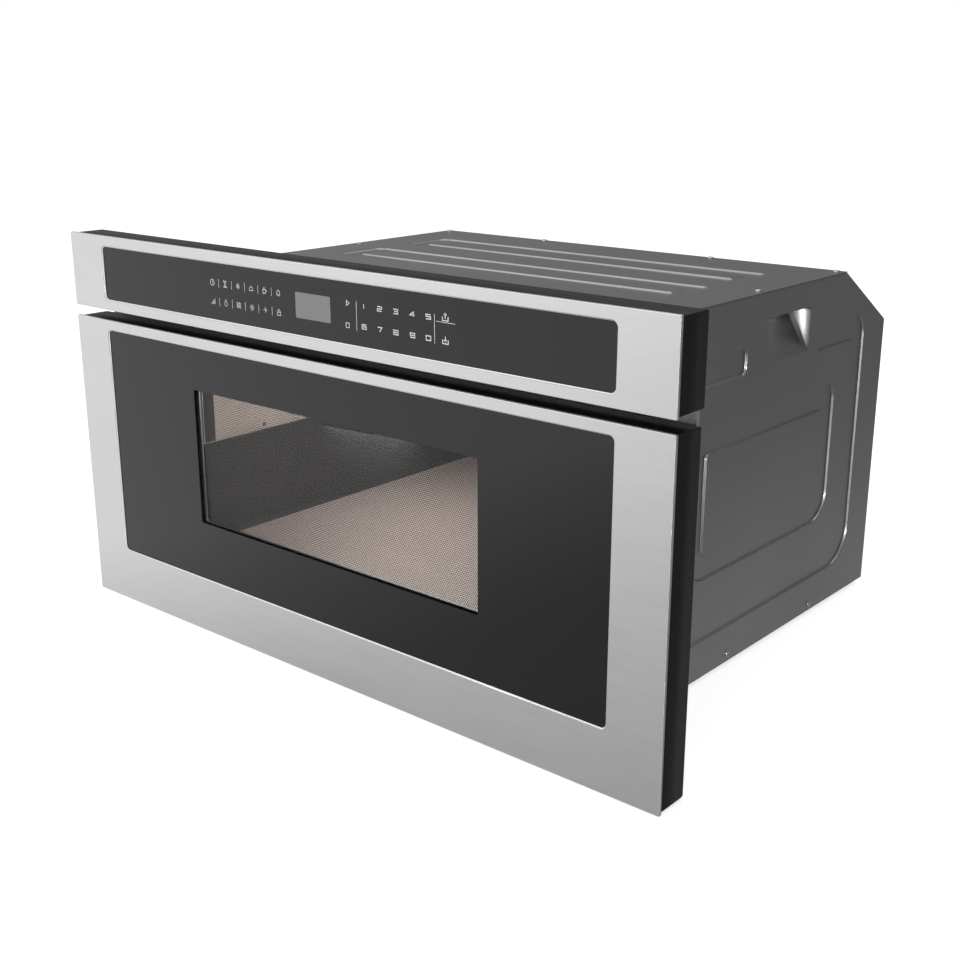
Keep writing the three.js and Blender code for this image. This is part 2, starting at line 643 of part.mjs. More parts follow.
function fasciaHousing() {
  const foot = FASCIA_FOOT + HOUSING_INSET;
  const top = FASCIA_TOP - HOUSING_INSET;
  const inset = 14;
  const rear = grown({ u0: -FRONT_HALF, u1: FRONT_HALF, v0: foot, v1: top }, -inset);
  const shell = mouldedBox(foot, top, FASCIA_DEPTH, rear);
  const from = fasciaGlassRear() + SEAT_GAP;
  const seat = glassSeat(fasciaGlass, from, from + 8, 3);
  const webs = [-0.75, 0.75].map((share) => {
    const x = share * (FRONT_HALF - SIDE_BORDER);
    return block(x - 1, x + 1, from + 2, FASCIA_DEPTH - 1, foot + 1, top - 1);
  });
  const bosses = [-0.94, 0, 0.94].flatMap((share) => [foot + inset / 2 + 1, top - inset / 2 - 1].map((z) => (
    rod('y', [share * FRAME_HALF, z], 4.5, fasciaGlassRear() + 10, FRAME_FACE - SEAT_GAP, 6))));
  return joined([shell, seat, ...webs, ...bosses]).subtract(touchBoardSpace());
}

function fasciaGlassRear() {
  return GLASS_FRONT + FASCIA_GLASS_THICKNESS;
}

const touchBoardRect = grown({
  u0: -TOUCH_BOARD_WIDTH / 2, u1: TOUCH_BOARD_WIDTH / 2, v0: fasciaOpening.foot, v1: fasciaOpening.top,
}, -2);

const displayRect = {
  u0: DISPLAY_OFFSET - DISPLAY_WIDTH / 2,
  u1: DISPLAY_OFFSET + DISPLAY_WIDTH / 2,
  v0: DISPLAY_CENTRE - DISPLAY_HEIGHT / 2,
  v1: DISPLAY_CENTRE + DISPLAY_HEIGHT / 2,
};

function touchBoardSpace() {
  const from = fasciaGlassRear();
  return roundedPlate('y', grown(touchBoardRect, SEAT_GAP), 1, from, from + DISPLAY_DEPTH + 2 * SEAT_GAP + 4);
}

/** The sensor board behind the fascia glass, with its window for the display and its edge parts. */
function touchBoard() {
  const from = fasciaGlassRear() + SEAT_GAP;
  const rear = from + BOARD_THICKNESS;
  const chips = [-0.8, -0.45, 0.45, 0.75].map((share) => {
    const x = share * TOUCH_BOARD_WIDTH / 2;
    return block(x - 9, x + 9, rear - 0.5, rear + 3, DISPLAY_CENTRE - 6, DISPLAY_CENTRE + 6);
  });
  return joined([roundedPlate('y', touchBoardRect, 1, from, rear), ...chips])
    .subtract(roundedPlate('y', grown(displayRect, SEAT_GAP), 1, from - 1, rear + 1));
}

function displayModule() {
  const from = fasciaGlassRear() + SEAT_GAP;
  const back = from + BOARD_THICKNESS + SEAT_GAP;
  return roundedPlate('y', displayRect, 1, from, back + 1)
    .add(roundedPlate('y', grown(displayRect, 3), 2, back, from + DISPLAY_DEPTH));
}

piece('fascia_steel', steelSkin(FASCIA_FOOT, FASCIA_TOP, fasciaOpening.foot, fasciaOpening.top),
  FINISHES.brushedSteel);
piece('fascia_housing', fasciaHousing(), FINISHES.blackPlastic);
piece('fascia_glass', roundedPlate('y', fasciaGlass, 5, GLASS_FRONT, fasciaGlassRear()), FINISHES.darkGlass);
piece('touch_board', touchBoard(), FINISHES.circuitBoard);
piece('display_module', displayModule(), FINISHES.display);

const drawer = new THREE.Group();
unit.add(drawer);

piece('drawer_front_steel', steelSkin(FRONT_CLEARANCE, DOOR_TOP, doorOpening.foot, doorOpening.top),
  FINISHES.brushedSteel, drawer);
piece('drawer_front_housing', drawerFrontHousing(), FINISHES.blackPlastic, drawer);
piece('door_glass', roundedPlate('y', doorGlass, 5, GLASS_FRONT, GLASS_REAR), FINISHES.darkGlass, drawer);
piece('door_screen', doorScreen(), FINISHES.screenMetal, drawer);
piece('door_plate', doorPlate(), FINISHES.zincSteel, drawer);
piece('choke_cover', chokeCover(), FINISHES.blackPlastic, drawer);

// ---------------------------------------------------------------- oven tub and drawer frame

/** The drawn tub: rounded corners, slight draft, rolled rim, and a flange against the door plate. */
function tub() {
  const front = DOOR_PLATE_REAR + SEAT_GAP;
  const rim = { u0: -TUB_HALF, u1: TUB_HALF, v0: front - 60, v1: TUB_REAR };
  const floor = grown(rim, -TUB_DRAFT);
  const shape = (grow, radius) => [
    roundedLoop(grown(floor, grow - 6), radius),
    roundedLoop(grown(floor, grow), radius + 6),
    roundedLoop(grown(rim, grow), radius + 6),
  ];
  const levels = (foot, top) => [foot, foot + 6, top];
  const shell = loft('z', shape(0, TUB_CORNER), levels(TUB_BOTTOM, TUB_TOP));
  const collar = roundedPlate('z', grown(rim, TUB_RIM), TUB_CORNER + 8, TUB_TOP - TUB_SHEET, TUB_TOP);
  const inside = levels(TUB_BOTTOM + TUB_SHEET, TUB_TOP + 1);
  const hollow = loft('z', shape(-TUB_SHEET, TUB_CORNER - TUB_SHEET), inside);
  const flangeRect = {
    u0: -CAVITY_HALF - FLANGE + 3, u1: CAVITY_HALF + FLANGE - 3, v0: TUB_BOTTOM - FLANGE, v1: TUB_TOP,
  };
  const flange = block(flangeRect.u0, flangeRect.u1, front, front + TUB_SHEET, flangeRect.v0, flangeRect.v1);
  const keep = block(-FRONT_HALF, FRONT_HALF, front, TUB_REAR + 50, 0, TUB_TOP + 2);
  return joined([shell, collar, flange]).intersect(keep).subtract(hollow);
}

function tubFloor() {
  const half = TUB_HALF - TUB_DRAFT - PLATE_MARGIN;
  const rect = {
    u0: -half, u1: half, v0: DOOR_PLATE_REAR + 1, v1: TUB_REAR - TUB_DRAFT - PLATE_MARGIN,
  };
  const levels = [PLATE_BOTTOM, OVEN_FLOOR - 1, OVEN_FLOOR];
  return loft('z', [0, 0, -1].map((grow) => roundedLoop(grown(rect, grow), 8 + grow)), levels);
}

/** One arm of the drawer frame: upright web along the slide, foot against the door. */
function drawerArm() {
  const web = ARM_FACE;
  const rearEnd = RAIL_END - RAIL_STAGGER;
  const low = RAIL_CENTRE - RAIL_HEIGHT / 2 + ARM_MARGIN;
  const high = RAIL_CENTRE + RAIL_HEIGHT / 2 - ARM_MARGIN;
  const from = DOOR_DEPTH + SEAT_GAP;
  const upright = prism('x', polygon([
    [from, low], [rearEnd - ARM_CHAMFER, low], [rearEnd, low + ARM_CHAMFER], [rearEnd, high], [from, high],
  ]), web - BRACKET_SHEET, web);
  const foot = block(web - BRACKET_SHEET, web + ARM_FOOT_WIDTH, from, from + BRACKET_SHEET, low, high);
  const holes = [0.25, 0.5, 0.75].map((share) => {
    const y = THREE.MathUtils.lerp(FRAME_REAR, rearEnd, share);
    const slot = slotAt(y, ARM_SLOT);
    return roundedPlate('x', slot, ARM_SLOT.height / 2 - 0.1, web - 2 * BRACKET_SHEET, web + 1);
  });
  return upright.add(foot).subtract(joined(holes));
}

/** A rectangle on the slide's centre line. */
function slotAt(y, { length, height }) {
  return {
    u0: y - length / 2, u1: y + length / 2, v0: RAIL_CENTRE - height / 2, v1: RAIL_CENTRE + height / 2,
  };
}

/** The member that ties both arms at the rear and carries the rack. */
function crossMember() {
  const front = CROSS_MEMBER_REAR - CROSS_MEMBER_DEPTH;
  const end = ARM_FACE - BRACKET_SHEET - SEAT_GAP - BRACKET_SHEET / 2;
  const low = RAIL_CENTRE - RAIL_HEIGHT / 2 + 2 * ARM_MARGIN;
  const high = CROSS_MEMBER_TOP - BRACKET_SHEET / 2;
  const line = [[-end, low], [-end, high], [end, high], [end, low]];
  const top = prism('y', strip(line, BRACKET_SHEET), front, CROSS_MEMBER_REAR);
  const lipEnd = end - CROSS_MEMBER_LIP_INSET;
  const lips = [front, CROSS_MEMBER_REAR - BRACKET_SHEET].map((y) => (
    block(-lipEnd, lipEnd, y, y + BRACKET_SHEET, CROSS_MEMBER_FOOT, high)));
  return joined([top, ...lips]);
}

/** A hook that enters the interlock behind the front frame. */
function latchHook() {
  const from = DOOR_DEPTH + SEAT_GAP;
  const { reach, nose, barb, thickness, flange } = HOOK;
  const tip = from + reach;
  const shank = prism('x', polygon([
    [from, HOOK_FOOT], [tip - nose, HOOK_FOOT], [tip, HOOK_FOOT + nose / 2], [tip, HOOK_TOP],
    [tip - barb, HOOK_TOP + barb], [tip - barb - nose / 2, HOOK_TOP + barb],
    [tip - barb - nose / 2, HOOK_TOP], [from, HOOK_TOP],
  ]), LATCH_OFFSET, LATCH_OFFSET + thickness);
  const plate = block(LATCH_OFFSET - flange, LATCH_OFFSET + thickness + flange, from, from + BRACKET_SHEET,
    HOOK_FOOT - flange / 2, HOOK_TOP + flange);
  return shank.add(plate);
}

piece('tub', tub(), FINISHES.tubCoating, drawer);
piece('tub_floor', tubFloor(), FINISHES.ceramicPlate, drawer);
piece('drawer_arm_right', drawerArm(), FINISHES.zincSteel, drawer);
piece('drawer_arm_left', mirrored(drawerArm()), FINISHES.zincSteel, drawer);
piece('drawer_cross_member', crossMember(), FINISHES.zincSteel, drawer);
piece('latch_hook_right', latchHook(), FINISHES.whitePlastic, drawer);
piece('latch_hook_left', mirrored(latchHook()), FINISHES.whitePlastic, drawer);

// ---------------------------------------------------------------- telescopic slides

/** Cross-sections as centre lines: u from the outer face inwards, v from the slide's centre. */
function railProfiles() {
  const half = RAIL_HEIGHT / 2;
  const t = RAIL_SHEET;
  const outerFlange = half - t / 2;
  const middleFlange = outerFlange - t - RUNNING_GAP;
  const innerFlange = middleFlange - t / 2 - RUNNING_GAP;
  const mouth = RAIL_WIDTH - t / 2;
  const middleBack = 2 * t + SEAT_GAP / 3;
  const middleMouth = RAIL_WIDTH - 2 * t + SEAT_GAP / 3;
  const core = RAIL_CORE_HEIGHT / 2;
  const waist = RAIL_WIDTH / 2 + SEAT_GAP;
  const face = RAIL_WIDTH + SEAT_GAP;
  return {
    outer: [
      [mouth, outerFlange - RAIL_LIP], [mouth, outerFlange], [t / 2, outerFlange],
      [t / 2, -outerFlange], [mouth, -outerFlange], [mouth, RAIL_LIP - outerFlange],
    ],
    middle: [
      [middleMouth, middleFlange - RAIL_LIP], [middleMouth, middleFlange], [middleBack, middleFlange],
      [middleBack, -middleFlange], [middleMouth, -middleFlange], [middleMouth, RAIL_LIP - middleFlange],
    ],
    inner: [
      [waist, innerFlange], [waist, core], [face, core],
      [face, -core], [waist, -core], [waist, -innerFlange],
    ],
  };
}

/** One member of the right slide between two depths. */
function railMember(profile, from, to) {
  const line = profile.map(([u, v]) => [RAIL_FACE - u, RAIL_CENTRE + v]);
  return prism('y', strip(line, RAIL_SHEET), from, to);
}

/** The bracket that stands on the base and carries the outer member. */
function railBracket() {
  const face = RAIL_FACE + SEAT_GAP;
  const middle = face + BRACKET_SHEET / 2;
  const foot = BASE_TOP + SEAT_GAP + BRACKET_SHEET / 2;
  const high = RAIL_CENTRE + RAIL_HEIGHT / 2 + ARM_MARGIN;
  const from = SLIDE_FRONT + 1.5 * RAIL_STAGGER;
  const to = RAIL_END - 1.5 * RAIL_STAGGER;
  const section = strip([[middle, high], [middle, foot], [face + BRACKET_FOOT, foot]], BRACKET_SHEET);
  const windows = [0.2, 0.4, 0.6, 0.8].map((share) => roundedPlate('x',
    slotAt(THREE.MathUtils.lerp(from, to, share), BRACKET_WINDOW), BRACKET_WINDOW.corner,
    face - 1, face + 2 * BRACKET_SHEET));
  return prism('y', section, from, to).subtract(joined(windows));
}

const profiles = railProfiles();
const rails = {
  rail_outer: [railMember(profiles.outer, SLIDE_FRONT, RAIL_END), unit],
  rail_middle: [railMember(profiles.middle, SLIDE_FRONT + RAIL_STAGGER, RAIL_END - 1.5 * RAIL_STAGGER), unit],
  rail_inner: [railMember(profiles.inner, SLIDE_FRONT - RAIL_STAGGER / 2, RAIL_END - RAIL_STAGGER), drawer],
  rail_bracket: [railBracket(), unit],
};
for (const [name, [body, parent]] of Object.entries(rails)) {
  piece(`${name}_right`, body, FINISHES.zincSteel, parent);
  piece(`${name}_left`, mirrored(body), FINISHES.zincSteel, parent);
}

// ---------------------------------------------------------------- rack, pinion and gear motor

/** The rack: a bar with straight-flanked teeth that point down, and a tang down the door's back. */
function driveRack() {
  const rackEnd = PINION_Y + DRAWER_TRAVEL + 2 * TOOTH_PITCH;
  const start = PINION_Y - 2 * TOOTH_PITCH;
  const teeth = Math.floor((rackEnd - start) / TOOTH_PITCH);
  const root = RACK_PITCH_LINE + 1.25 * RACK_MODULE;
  const tip = RACK_PITCH_LINE - RACK_MODULE;
  const slope = Math.tan(PRESSURE_ANGLE);
  const halfAt = (z) => TOOTH_PITCH / 4 - TOOTH_BACKLASH / 4 + (z - RACK_PITCH_LINE) * slope;
  const tangFront = DOOR_DEPTH + SEAT_GAP;
  const end = Math.max(start + teeth * TOOTH_PITCH, CROSS_MEMBER_REAR);
  const outline = [[tangFront + 1, root], [tangFront + 1, RACK_TOP], [end, RACK_TOP], [end, root]];
  for (let i = teeth - 1; i >= 0; i -= 1) {
    const centre = start + (i + 0.5) * TOOTH_PITCH;
    outline.push([centre + halfAt(root), root], [centre + halfAt(tip), tip]);
    outline.push([centre - halfAt(tip), tip], [centre - halfAt(root), root]);
  }
  const bar = prism('x', polygon(outline), -RACK_WIDTH / 2, RACK_WIDTH / 2);
  const tangFoot = DOOR_PLATE_FOOT - RACK_TANG.drop;
  const half = RACK_TANG.width / 2;
  const step = BRACKET_SHEET / 2;
  const tang = block(-half, half, tangFront + step, tangFront + 3 * step, tangFoot, RACK_TOP);
  const pad = block(-half, half, tangFront, tangFront + 2 * step, tangFoot, DOOR_PLATE_FOOT - RACK_TANG.lap);
  return joined([bar, tang, pad]);
}

/** Half angle of an involute tooth at a radius, for the pinion's module and tooth count. */
function toothHalfAngle(radius) {
  const involute = (angle) => Math.tan(angle) - angle;
  const pressure = Math.acos(Math.min(1, PINION_RADIUS * Math.cos(PRESSURE_ANGLE) / radius));
  const atPitch = (TOOTH_PITCH / 4 - TOOTH_BACKLASH / 4) / PINION_RADIUS;
  return atPitch + involute(PRESSURE_ANGLE) - involute(pressure);
}

/** The pinion about its own axis, with its shaft; a tooth points up at rest. */
function drivePinion() {
  const base = PINION_RADIUS * Math.cos(PRESSURE_ANGLE);
  const root = PINION_RADIUS - 1.25 * RACK_MODULE;
  const tip = PINION_RADIUS + RACK_MODULE;
  const flank = [0, 0.5, 1].map((share) => THREE.MathUtils.lerp(base, tip, share));
  const outline = [];
  for (let i = 0; i < PINION_TEETH; i += 1) {
    const centre = Math.PI / 2 + 2 * Math.PI * i / PINION_TEETH;
    const at = (radius, angle) => outline.push([radius * Math.cos(angle), radius * Math.sin(angle)]);
    at(root, centre - toothHalfAngle(base) - 0.02);
    flank.forEach((radius) => at(radius, centre - toothHalfAngle(radius)));
    [...flank].reverse().forEach((radius) => at(radius, centre + toothHalfAngle(radius)));
    at(root, centre + toothHalfAngle(base) + 0.02);
  }
  const half = PINION_WIDTH / 2;
  return joined([
    prism('x', polygon(outline), -half, half),
    rod('x', [0, 0], PINION_HUB.radius, -half - PINION_HUB.step, half + PINION_HUB.step, 16),
    rod('x', [0, 0], PINION_SHAFT.radius, -half - PINION_SHAFT.near, half + PINION_SHAFT.far, 12),
  ]);
}

/** The gear motor: gearbox and plate that carry the pinion's shaft, a motor can and feet. */
function gearMotor() {
  const half = PINION_WIDTH / 2 + PINION_HUB.step + RUNNING_GAP;
  const foot = BASE_TOP + SEAT_GAP;
  const sole = foot + MOTOR_FOOT.thickness;
  const top = RACK_PITCH_LINE - 2.2 * RACK_MODULE;
  const front = PINION_Y - GEARBOX.ahead;
  const rear = front + GEARBOX.length;
  const far = half + GEARBOX.width;
  const plateFront = PINION_Y - BEARING_PLATE.ahead;
  const plateRear = plateFront + BEARING_PLATE.length;
  const plateFace = -half - BEARING_PLATE.thickness;
  const bridge = PINION_Y + PINION_HUB.step;
  const { inset } = MOTOR_FOOT;
  const canCentre = [PINION_Y + MOTOR_CAN.behind, PINION_Z - MOTOR_CAN.drop];
  const canEnd = far + MOTOR_CAN.length - GEARBOX.overlap;
  return joined([
    roundedPlate('x', { u0: front, u1: rear, v0: foot + 2 * inset, v1: top }, GEARBOX.corner, half, far),
    block(half, far, front + inset, rear - inset, foot, foot + GEARBOX.corner + 2 * inset),
    roundedPlate('x', { u0: plateFront, u1: plateRear, v0: foot, v1: PINION_Z + BEARING_PLATE.rise },
      BEARING_PLATE.corner, plateFace, -half),
    block(plateFace, half + GEARBOX.overlap, bridge, plateRear, foot, sole),
    block(plateFace - MOTOR_FOOT.width, -half, plateFront, plateRear, foot, sole),
    block(far - GEARBOX.overlap, far + MOTOR_FOOT.width, front + inset, rear - inset, foot, sole),
    rod('x', canCentre, MOTOR_CAN.radius, far - GEARBOX.overlap, canEnd, 20),
    rod('x', canCentre, MOTOR_CAP.radius, canEnd - GEARBOX.overlap, canEnd + MOTOR_CAP.length, 12),
  ]).subtract(rod('x', [PINION_Y, PINION_Z], PINION_SHAFT.radius + RUNNING_GAP,
    plateFace - 1, half + PINION_SHAFT.far, 12));
}

piece('drive_rack', driveRack(), FINISHES.whitePlastic, drawer);
const pinion = piece('drive_pinion', drivePinion(), FINISHES.whitePlastic);
pinion.position.set(0, PINION_Y, PINION_Z);
piece('gear_motor', gearMotor(), FINISHES.blackPart);

// ---------------------------------------------------------------- interlocks

/** The upright plate that carries one interlock switch beside the hook. */
function interlockBracket() {
  const face = SWITCH_FACE + SWITCH.width + SEAT_GAP;
  const middle = face + BRACKET_SHEET / 2;
  const foot = BASE_TOP + SEAT_GAP + BRACKET_SHEET / 2;
  const from = FRAME_REAR + INTERLOCK.setback;
  const line = [[middle, HOOK_TOP + INTERLOCK.rise], [middle, foot], [face + INTERLOCK.foot, foot]];
  return prism('y', strip(line, BRACKET_SHEET), from, from + INTERLOCK.length);
}

function interlockSwitch() {
  const from = FRAME_REAR + SWITCH.setback;
  const low = HOOK_FOOT - SWITCH.drop;
  const near = SWITCH_FACE + RUNNING_GAP;
  const body = block(near, SWITCH_FACE + SWITCH.width, from, from + SWITCH.length, low, low + SWITCH.height);
  const plungerAt = [from + SWITCH.length / 4, HOOK_TOP - HOOK.thickness];
  const plunger = rod('x', plungerAt, SWITCH.plunger, SWITCH_FACE, near + 1.5, 10);
  const tabs = [0.2, 0.5, 0.8].map((share) => {
    const y = from + share * SWITCH.length;
    const x = SWITCH_FACE + SWITCH.width / 2;
    return block(x - 0.4, x + 0.4, y - 2, y + 2, low - SWITCH.tab, low + 1);
  });
  return joined([body, plunger, ...tabs]);
}

for (const [name, body, material] of [
  ['interlock_bracket', interlockBracket(), FINISHES.zincSteel],
  ['interlock_switch', interlockSwitch(), FINISHES.blackPart],
]) {
  piece(`${name}_right`, body, material);
  piece(`${name}_left`, mirrored(body), material);
}

// ---------------------------------------------------------------- cabinet

/** The plate behind the front: seat of the fascia, mouth of the oven, windows for the slides. */
function frontFrame() {
  const foot = FOOT_HEIGHT + 3;
  const top = FASCIA_TOP - 10;
  const plate = block(-FRAME_HALF, FRAME_HALF, FRAME_FACE, FRAME_REAR, foot, top);
  const rear = FRAME_REAR + FRAME_RETURN;
  const wing = CABINET_HALF + 4;
  const returns = joined([
    block(FRAME_HALF - FRAME_SHEET, FRAME_HALF, FRAME_FACE, rear, foot, top),
    block(wing, FRAME_HALF, FRAME_FACE, rear, foot, foot + FRAME_SHEET),
    block(wing, FRAME_HALF, FRAME_FACE, rear, top - FRAME_SHEET, top),
  ]);
  const mouth = { u0: -CAVITY_HALF, u1: CAVITY_HALF, v0: CAVITY_FLOOR, v1: CEILING };
  const armWindow = {
    u0: ARM_FACE - 5, u1: RAIL_FACE - 0.5,
    v0: RAIL_CENTRE - RAIL_HEIGHT / 2 - 1.5, v1: RAIL_CENTRE + RAIL_HEIGHT / 2 + 1.5,
  };
  const hookWindow = grown({
    u0: LATCH_OFFSET, u1: LATCH_OFFSET + HOOK.thickness, v0: HOOK_FOOT, v1: HOOK_TOP + HOOK.barb,
  }, HOOK_CLEARANCE);
  const rackHalf = RACK_TANG.width / 2 + 2;
  const rackWindow = {
    u0: -rackHalf, u1: rackHalf, v0: RACK_PITCH_LINE - 4 * RACK_MODULE, v1: RACK_TOP + 1.5,
  };
  const cut = (rect, radius) => roundedPlate('y', rect, radius, FRAME_FACE - 1, FRAME_REAR + 1);
  return plate.add(both(returns))
    .subtract(cut(mouth, 4))
    .subtract(cut(rackWindow, 2))
    .subtract(both(cut(armWindow, 2).add(cut(hookWindow, 2))));
}

const CHAMFER_SLOPE = CHAMFER_DROP / CHAMFER_RUN;

/** The outline of a side panel across x. */
function sideOutline() {
  return [
    [CAVITY_FRONT, CABINET_FOOT], [UNIT_DEPTH, CABINET_FOOT], [UNIT_DEPTH, CABINET_TOP - CHAMFER_DROP],
    [CHAMFER_START, ROOF - SEAT_GAP], [CAVITY_FRONT, ROOF - SEAT_GAP],
  ];
}

const outerRing = {
  u0: FRAME_REAR + OUTER_RING_FRONT, u1: UNIT_DEPTH - OUTER_RING_REAR,
  v0: CABINET_FOOT + OUTER_RING_FOOT, v1: CABINET_TOP - OUTER_RING_TOP,
};
const innerRing = {
  u0: outerRing.u0 + INNER_RING_FRONT, u1: outerRing.u1 - INNER_RING_REAR,
  v0: outerRing.v0 + INNER_RING_FOOT, v1: outerRing.v1 - INNER_RING_TOP,
};
const pocket = {
  y0: UNIT_DEPTH - POCKET_REAR - POCKET_LENGTH, y1: UNIT_DEPTH - POCKET_REAR,
  z0: CABINET_TOP - POCKET_BELOW_ROOF - POCKET_HEIGHT, z1: CABINET_TOP - POCKET_BELOW_ROOF,
};

/**
 * The scooped space of the hand pocket. Its floor falls from the flush front and foot to the
 * rear top, a slanting strip leads back from there, and a square wall closes its rear.
 */
function pocketSpace(extra) {
  const y0 = pocket.y0 - extra;
  const y1 = pocket.y1 + extra;
  const z0 = pocket.z0 - extra;
  const z1 = pocket.z1 + extra;
  const mouth = CABINET_HALF + 1;
  const deepest = y1 - POCKET_REAR_RUN;
  const section = (share) => {
    const depth = POCKET_DEPTH * share;
    return [[CABINET_HALF - extra, z0], [CABINET_HALF - extra - depth, z1], [mouth, z1], [mouth, z0]];
  };
  const ramp = [0, 0.2, 0.4, 0.6, 0.8, 1];
  const loops = ramp.map((share) => section(THREE.MathUtils.smoothstep(share, -0.15, 0.95)));
  const levels = ramp.map((share) => THREE.MathUtils.lerp(y0, deepest, share));
  return loft('y', [...loops, section(POCKET_WALL_SHARE)], [...levels, y1]);
}

/** The right side panel with its pressed ring bands, hand pocket and flanges. */
function sidePanel() {
  const face = CABINET_HALF;
  const sheet = prism('x', polygon(sideOutline()), SIDE_INNER, face);
  const top = ROOF - SEAT_GAP;
  const flanges = joined([
    block(SIDE_INNER - FLANGE, face, CAVITY_FRONT, CAVITY_FRONT + SHEET, CABINET_FOOT + 2, top),
    block(SIDE_INNER - FLANGE, face, CAVITY_FRONT, CHAMFER_START - 18, top - SHEET, top),
  ]);
  const corners = [RING_FOOT_CORNER, RING_TOP_CORNER, RING_TOP_CORNER, RING_FOOT_CORNER];
  const innerCorners = corners.map((radius) => radius * 0.75);
  const band = (rect, radii, from, to, grow) => ringBand('x', grown(rect, grow),
    radii.map((radius) => radius + grow), BAND_WIDTH + 2 * grow, BAND_SLOPE, from, to);
  const rings = (from, to, grow) => band(outerRing, corners, from, to, grow)
    .subtract(ringBreak(grow))
    .add(band(innerRing, innerCorners, from, to, grow));
  const back = rings(SIDE_INNER, SIDE_INNER - BAND_DEPTH, 0.4).intersect(
    block(SIDE_INNER - 30, face - SHEET / 2, 0, UNIT_DEPTH, 0, CABINET_TOP));
  const scoopBack = pocketSpace(SHEET).intersect(
    block(SIDE_INNER - 60, face - SHEET / 2, 0, UNIT_DEPTH, 0, CABINET_TOP));
  return joined([sheet, flanges, back, scoopBack])
    .subtract(rings(face, face - BAND_DEPTH, 0))
    .subtract(pocketSpace(0));
}

/** The stretch where the outer ring's top band stops on both sides of the pocket. */
function ringBreak(grow) {
  return block(0, FRONT_HALF, pocket.y0 - RING_BREAK_FRONT + grow, pocket.y1 + POCKET_BREAK - grow,
    innerRing.v1 + 8, CABINET_TOP);
}

/** The top panel with its two pressed rings. */
function topPanel() {
  const rear = CHAMFER_START;
  const plate = block(-CABINET_HALF, CABINET_HALF, CAVITY_FRONT, rear, ROOF, CABINET_TOP);
  const flange = block(-SIDE_INNER + FLANGE + 1, SIDE_INNER - FLANGE - 1, CAVITY_FRONT, CAVITY_FRONT + SHEET,
    ROOF - FLANGE, ROOF + SHEET / 2);
  const corners = Array(4).fill(TOP_RING_CORNER);
  const rings = [0, 1].map((i) => {
    const v1 = rear - TOP_RING_REAR - i * (TOP_RING_LENGTH + TOP_RING_GAP);
    return { u0: -TOP_RING_WIDTH / 2, u1: TOP_RING_WIDTH / 2, v0: v1 - TOP_RING_LENGTH, v1 };
  });
  const pressed = (face, bottom, grow) => joined(rings.map((rect) => ringBand('z', grown(rect, grow),
    corners.map((r) => r + grow), TOP_RING_BAND + 2 * grow, BAND_SLOPE, face, bottom)));
  const under = pressed(ROOF, ROOF - BAND_DEPTH, 0.4).intersect(
    block(-CABINET_HALF, CABINET_HALF, 0, rear, ROOF - 20, CABINET_TOP - SHEET / 2));
  return joined([plate, flange, under]).subtract(pressed(CABINET_TOP, CABINET_TOP - BAND_DEPTH, 0));
}

/** Slots of a round grille as rows cut to the circle, with a bridge in the middle. */
function grilleSlots(x, z, radius, pitch) {
  const slots = [];
  for (let row = -Math.floor(radius / pitch); row * pitch <= radius; row += 1) {
    const reach = Math.sqrt(Math.max(radius ** 2 - (row * pitch) ** 2, 0)) - 2;
    if (reach > 10) {
      const low = z + row * pitch - GRILLE_SLOT / 2;
      const through = [REAR_PANEL - 1, REAR_PANEL + 3, low, low + GRILLE_SLOT];
      slots.push(block(x + 3, x + reach, ...through));
      slots.push(block(x - reach, x - 3, ...through));
    }
  }
  return joined(slots);
}

const fanCentre = { x: FAN_OFFSET, z: WAVEGUIDE_BOTTOM - FAN_SIZE / 2 - FAN_DROP };

/** The rear panel, bent over the chamfer, with air inlet, hooded outlet louvres and gland hole. */
function rearPanel() {
  const half = SIDE_INNER - SEAT_GAP;
  const back = REAR_PANEL + SHEET / 2;
  const top = ROOF - SEAT_GAP - SHEET / 2;
  const chamferHeight = (y) => CABINET_TOP - 1.9 * SHEET - (y - CHAMFER_START) * CHAMFER_SLOPE;
  const line = [
    [back, CABINET_FOOT], [back, chamferHeight(back)], [CHAMFER_START, top], [CHAMFER_START - 14, top],
  ];
  const sheet = prism('x', strip(line, SHEET), -half, half);
  const depth = CHEEK_DEPTH;
  const cheekFoot = BASE_TOP + PAN_RIM + 3;
  const cheek = prism('x', polygon([
    [back, cheekFoot], [back, chamferHeight(back)], [CHAMFER_START + 2, top - 1.2],
    [CHAMFER_START + 6, top - depth], [back - depth, chamferHeight(back) - depth / 2],
    [back - depth, cheekFoot],
  ]), half - SHEET, half);
  const rows = Array.from({ length: LOUVRES.rows }, (_, i) => LOUVRES.z0 + i * LOUVRES.pitch);
  const step = LOUVRES.width + LOUVRES.gap;
  const columns = Array.from({ length: LOUVRES.columns }, (_, i) => LOUVRES.x0 + i * step);
  const cells = rows.flatMap((z) => columns.map((x) => ({ x, z })));
  const face = REAR_PANEL + SHEET;
  const hoods = cells.map(({ x, z }) => prism('x', polygon([
    [face - 0.5, z + LOUVRES.rise + 3], [face + LOUVRES.hood, z + 1],
    [face + LOUVRES.hood - 1, z], [face - 0.5, z + LOUVRES.rise + 0.5],
  ]), x, x + LOUVRES.width));
  const slots = cells.map(({ x, z }) => block(x + 1, x + LOUVRES.width - 1, REAR_PANEL - 1, REAR_PANEL + 3,
    z, z + LOUVRES.rise));
  return joined([sheet, both(cheek)])
    .subtract(joined(slots))
    .add(joined(hoods))
    .subtract(grilleSlots(fanCentre.x, fanCentre.z, FAN_BORE - 2, GRILLE_PITCH))
    .subtract(rod('y', [GLAND.x, GLAND.z], GLAND.radius + RUNNING_GAP, REAR_PANEL - 2, REAR_PANEL + 4, 20));
}

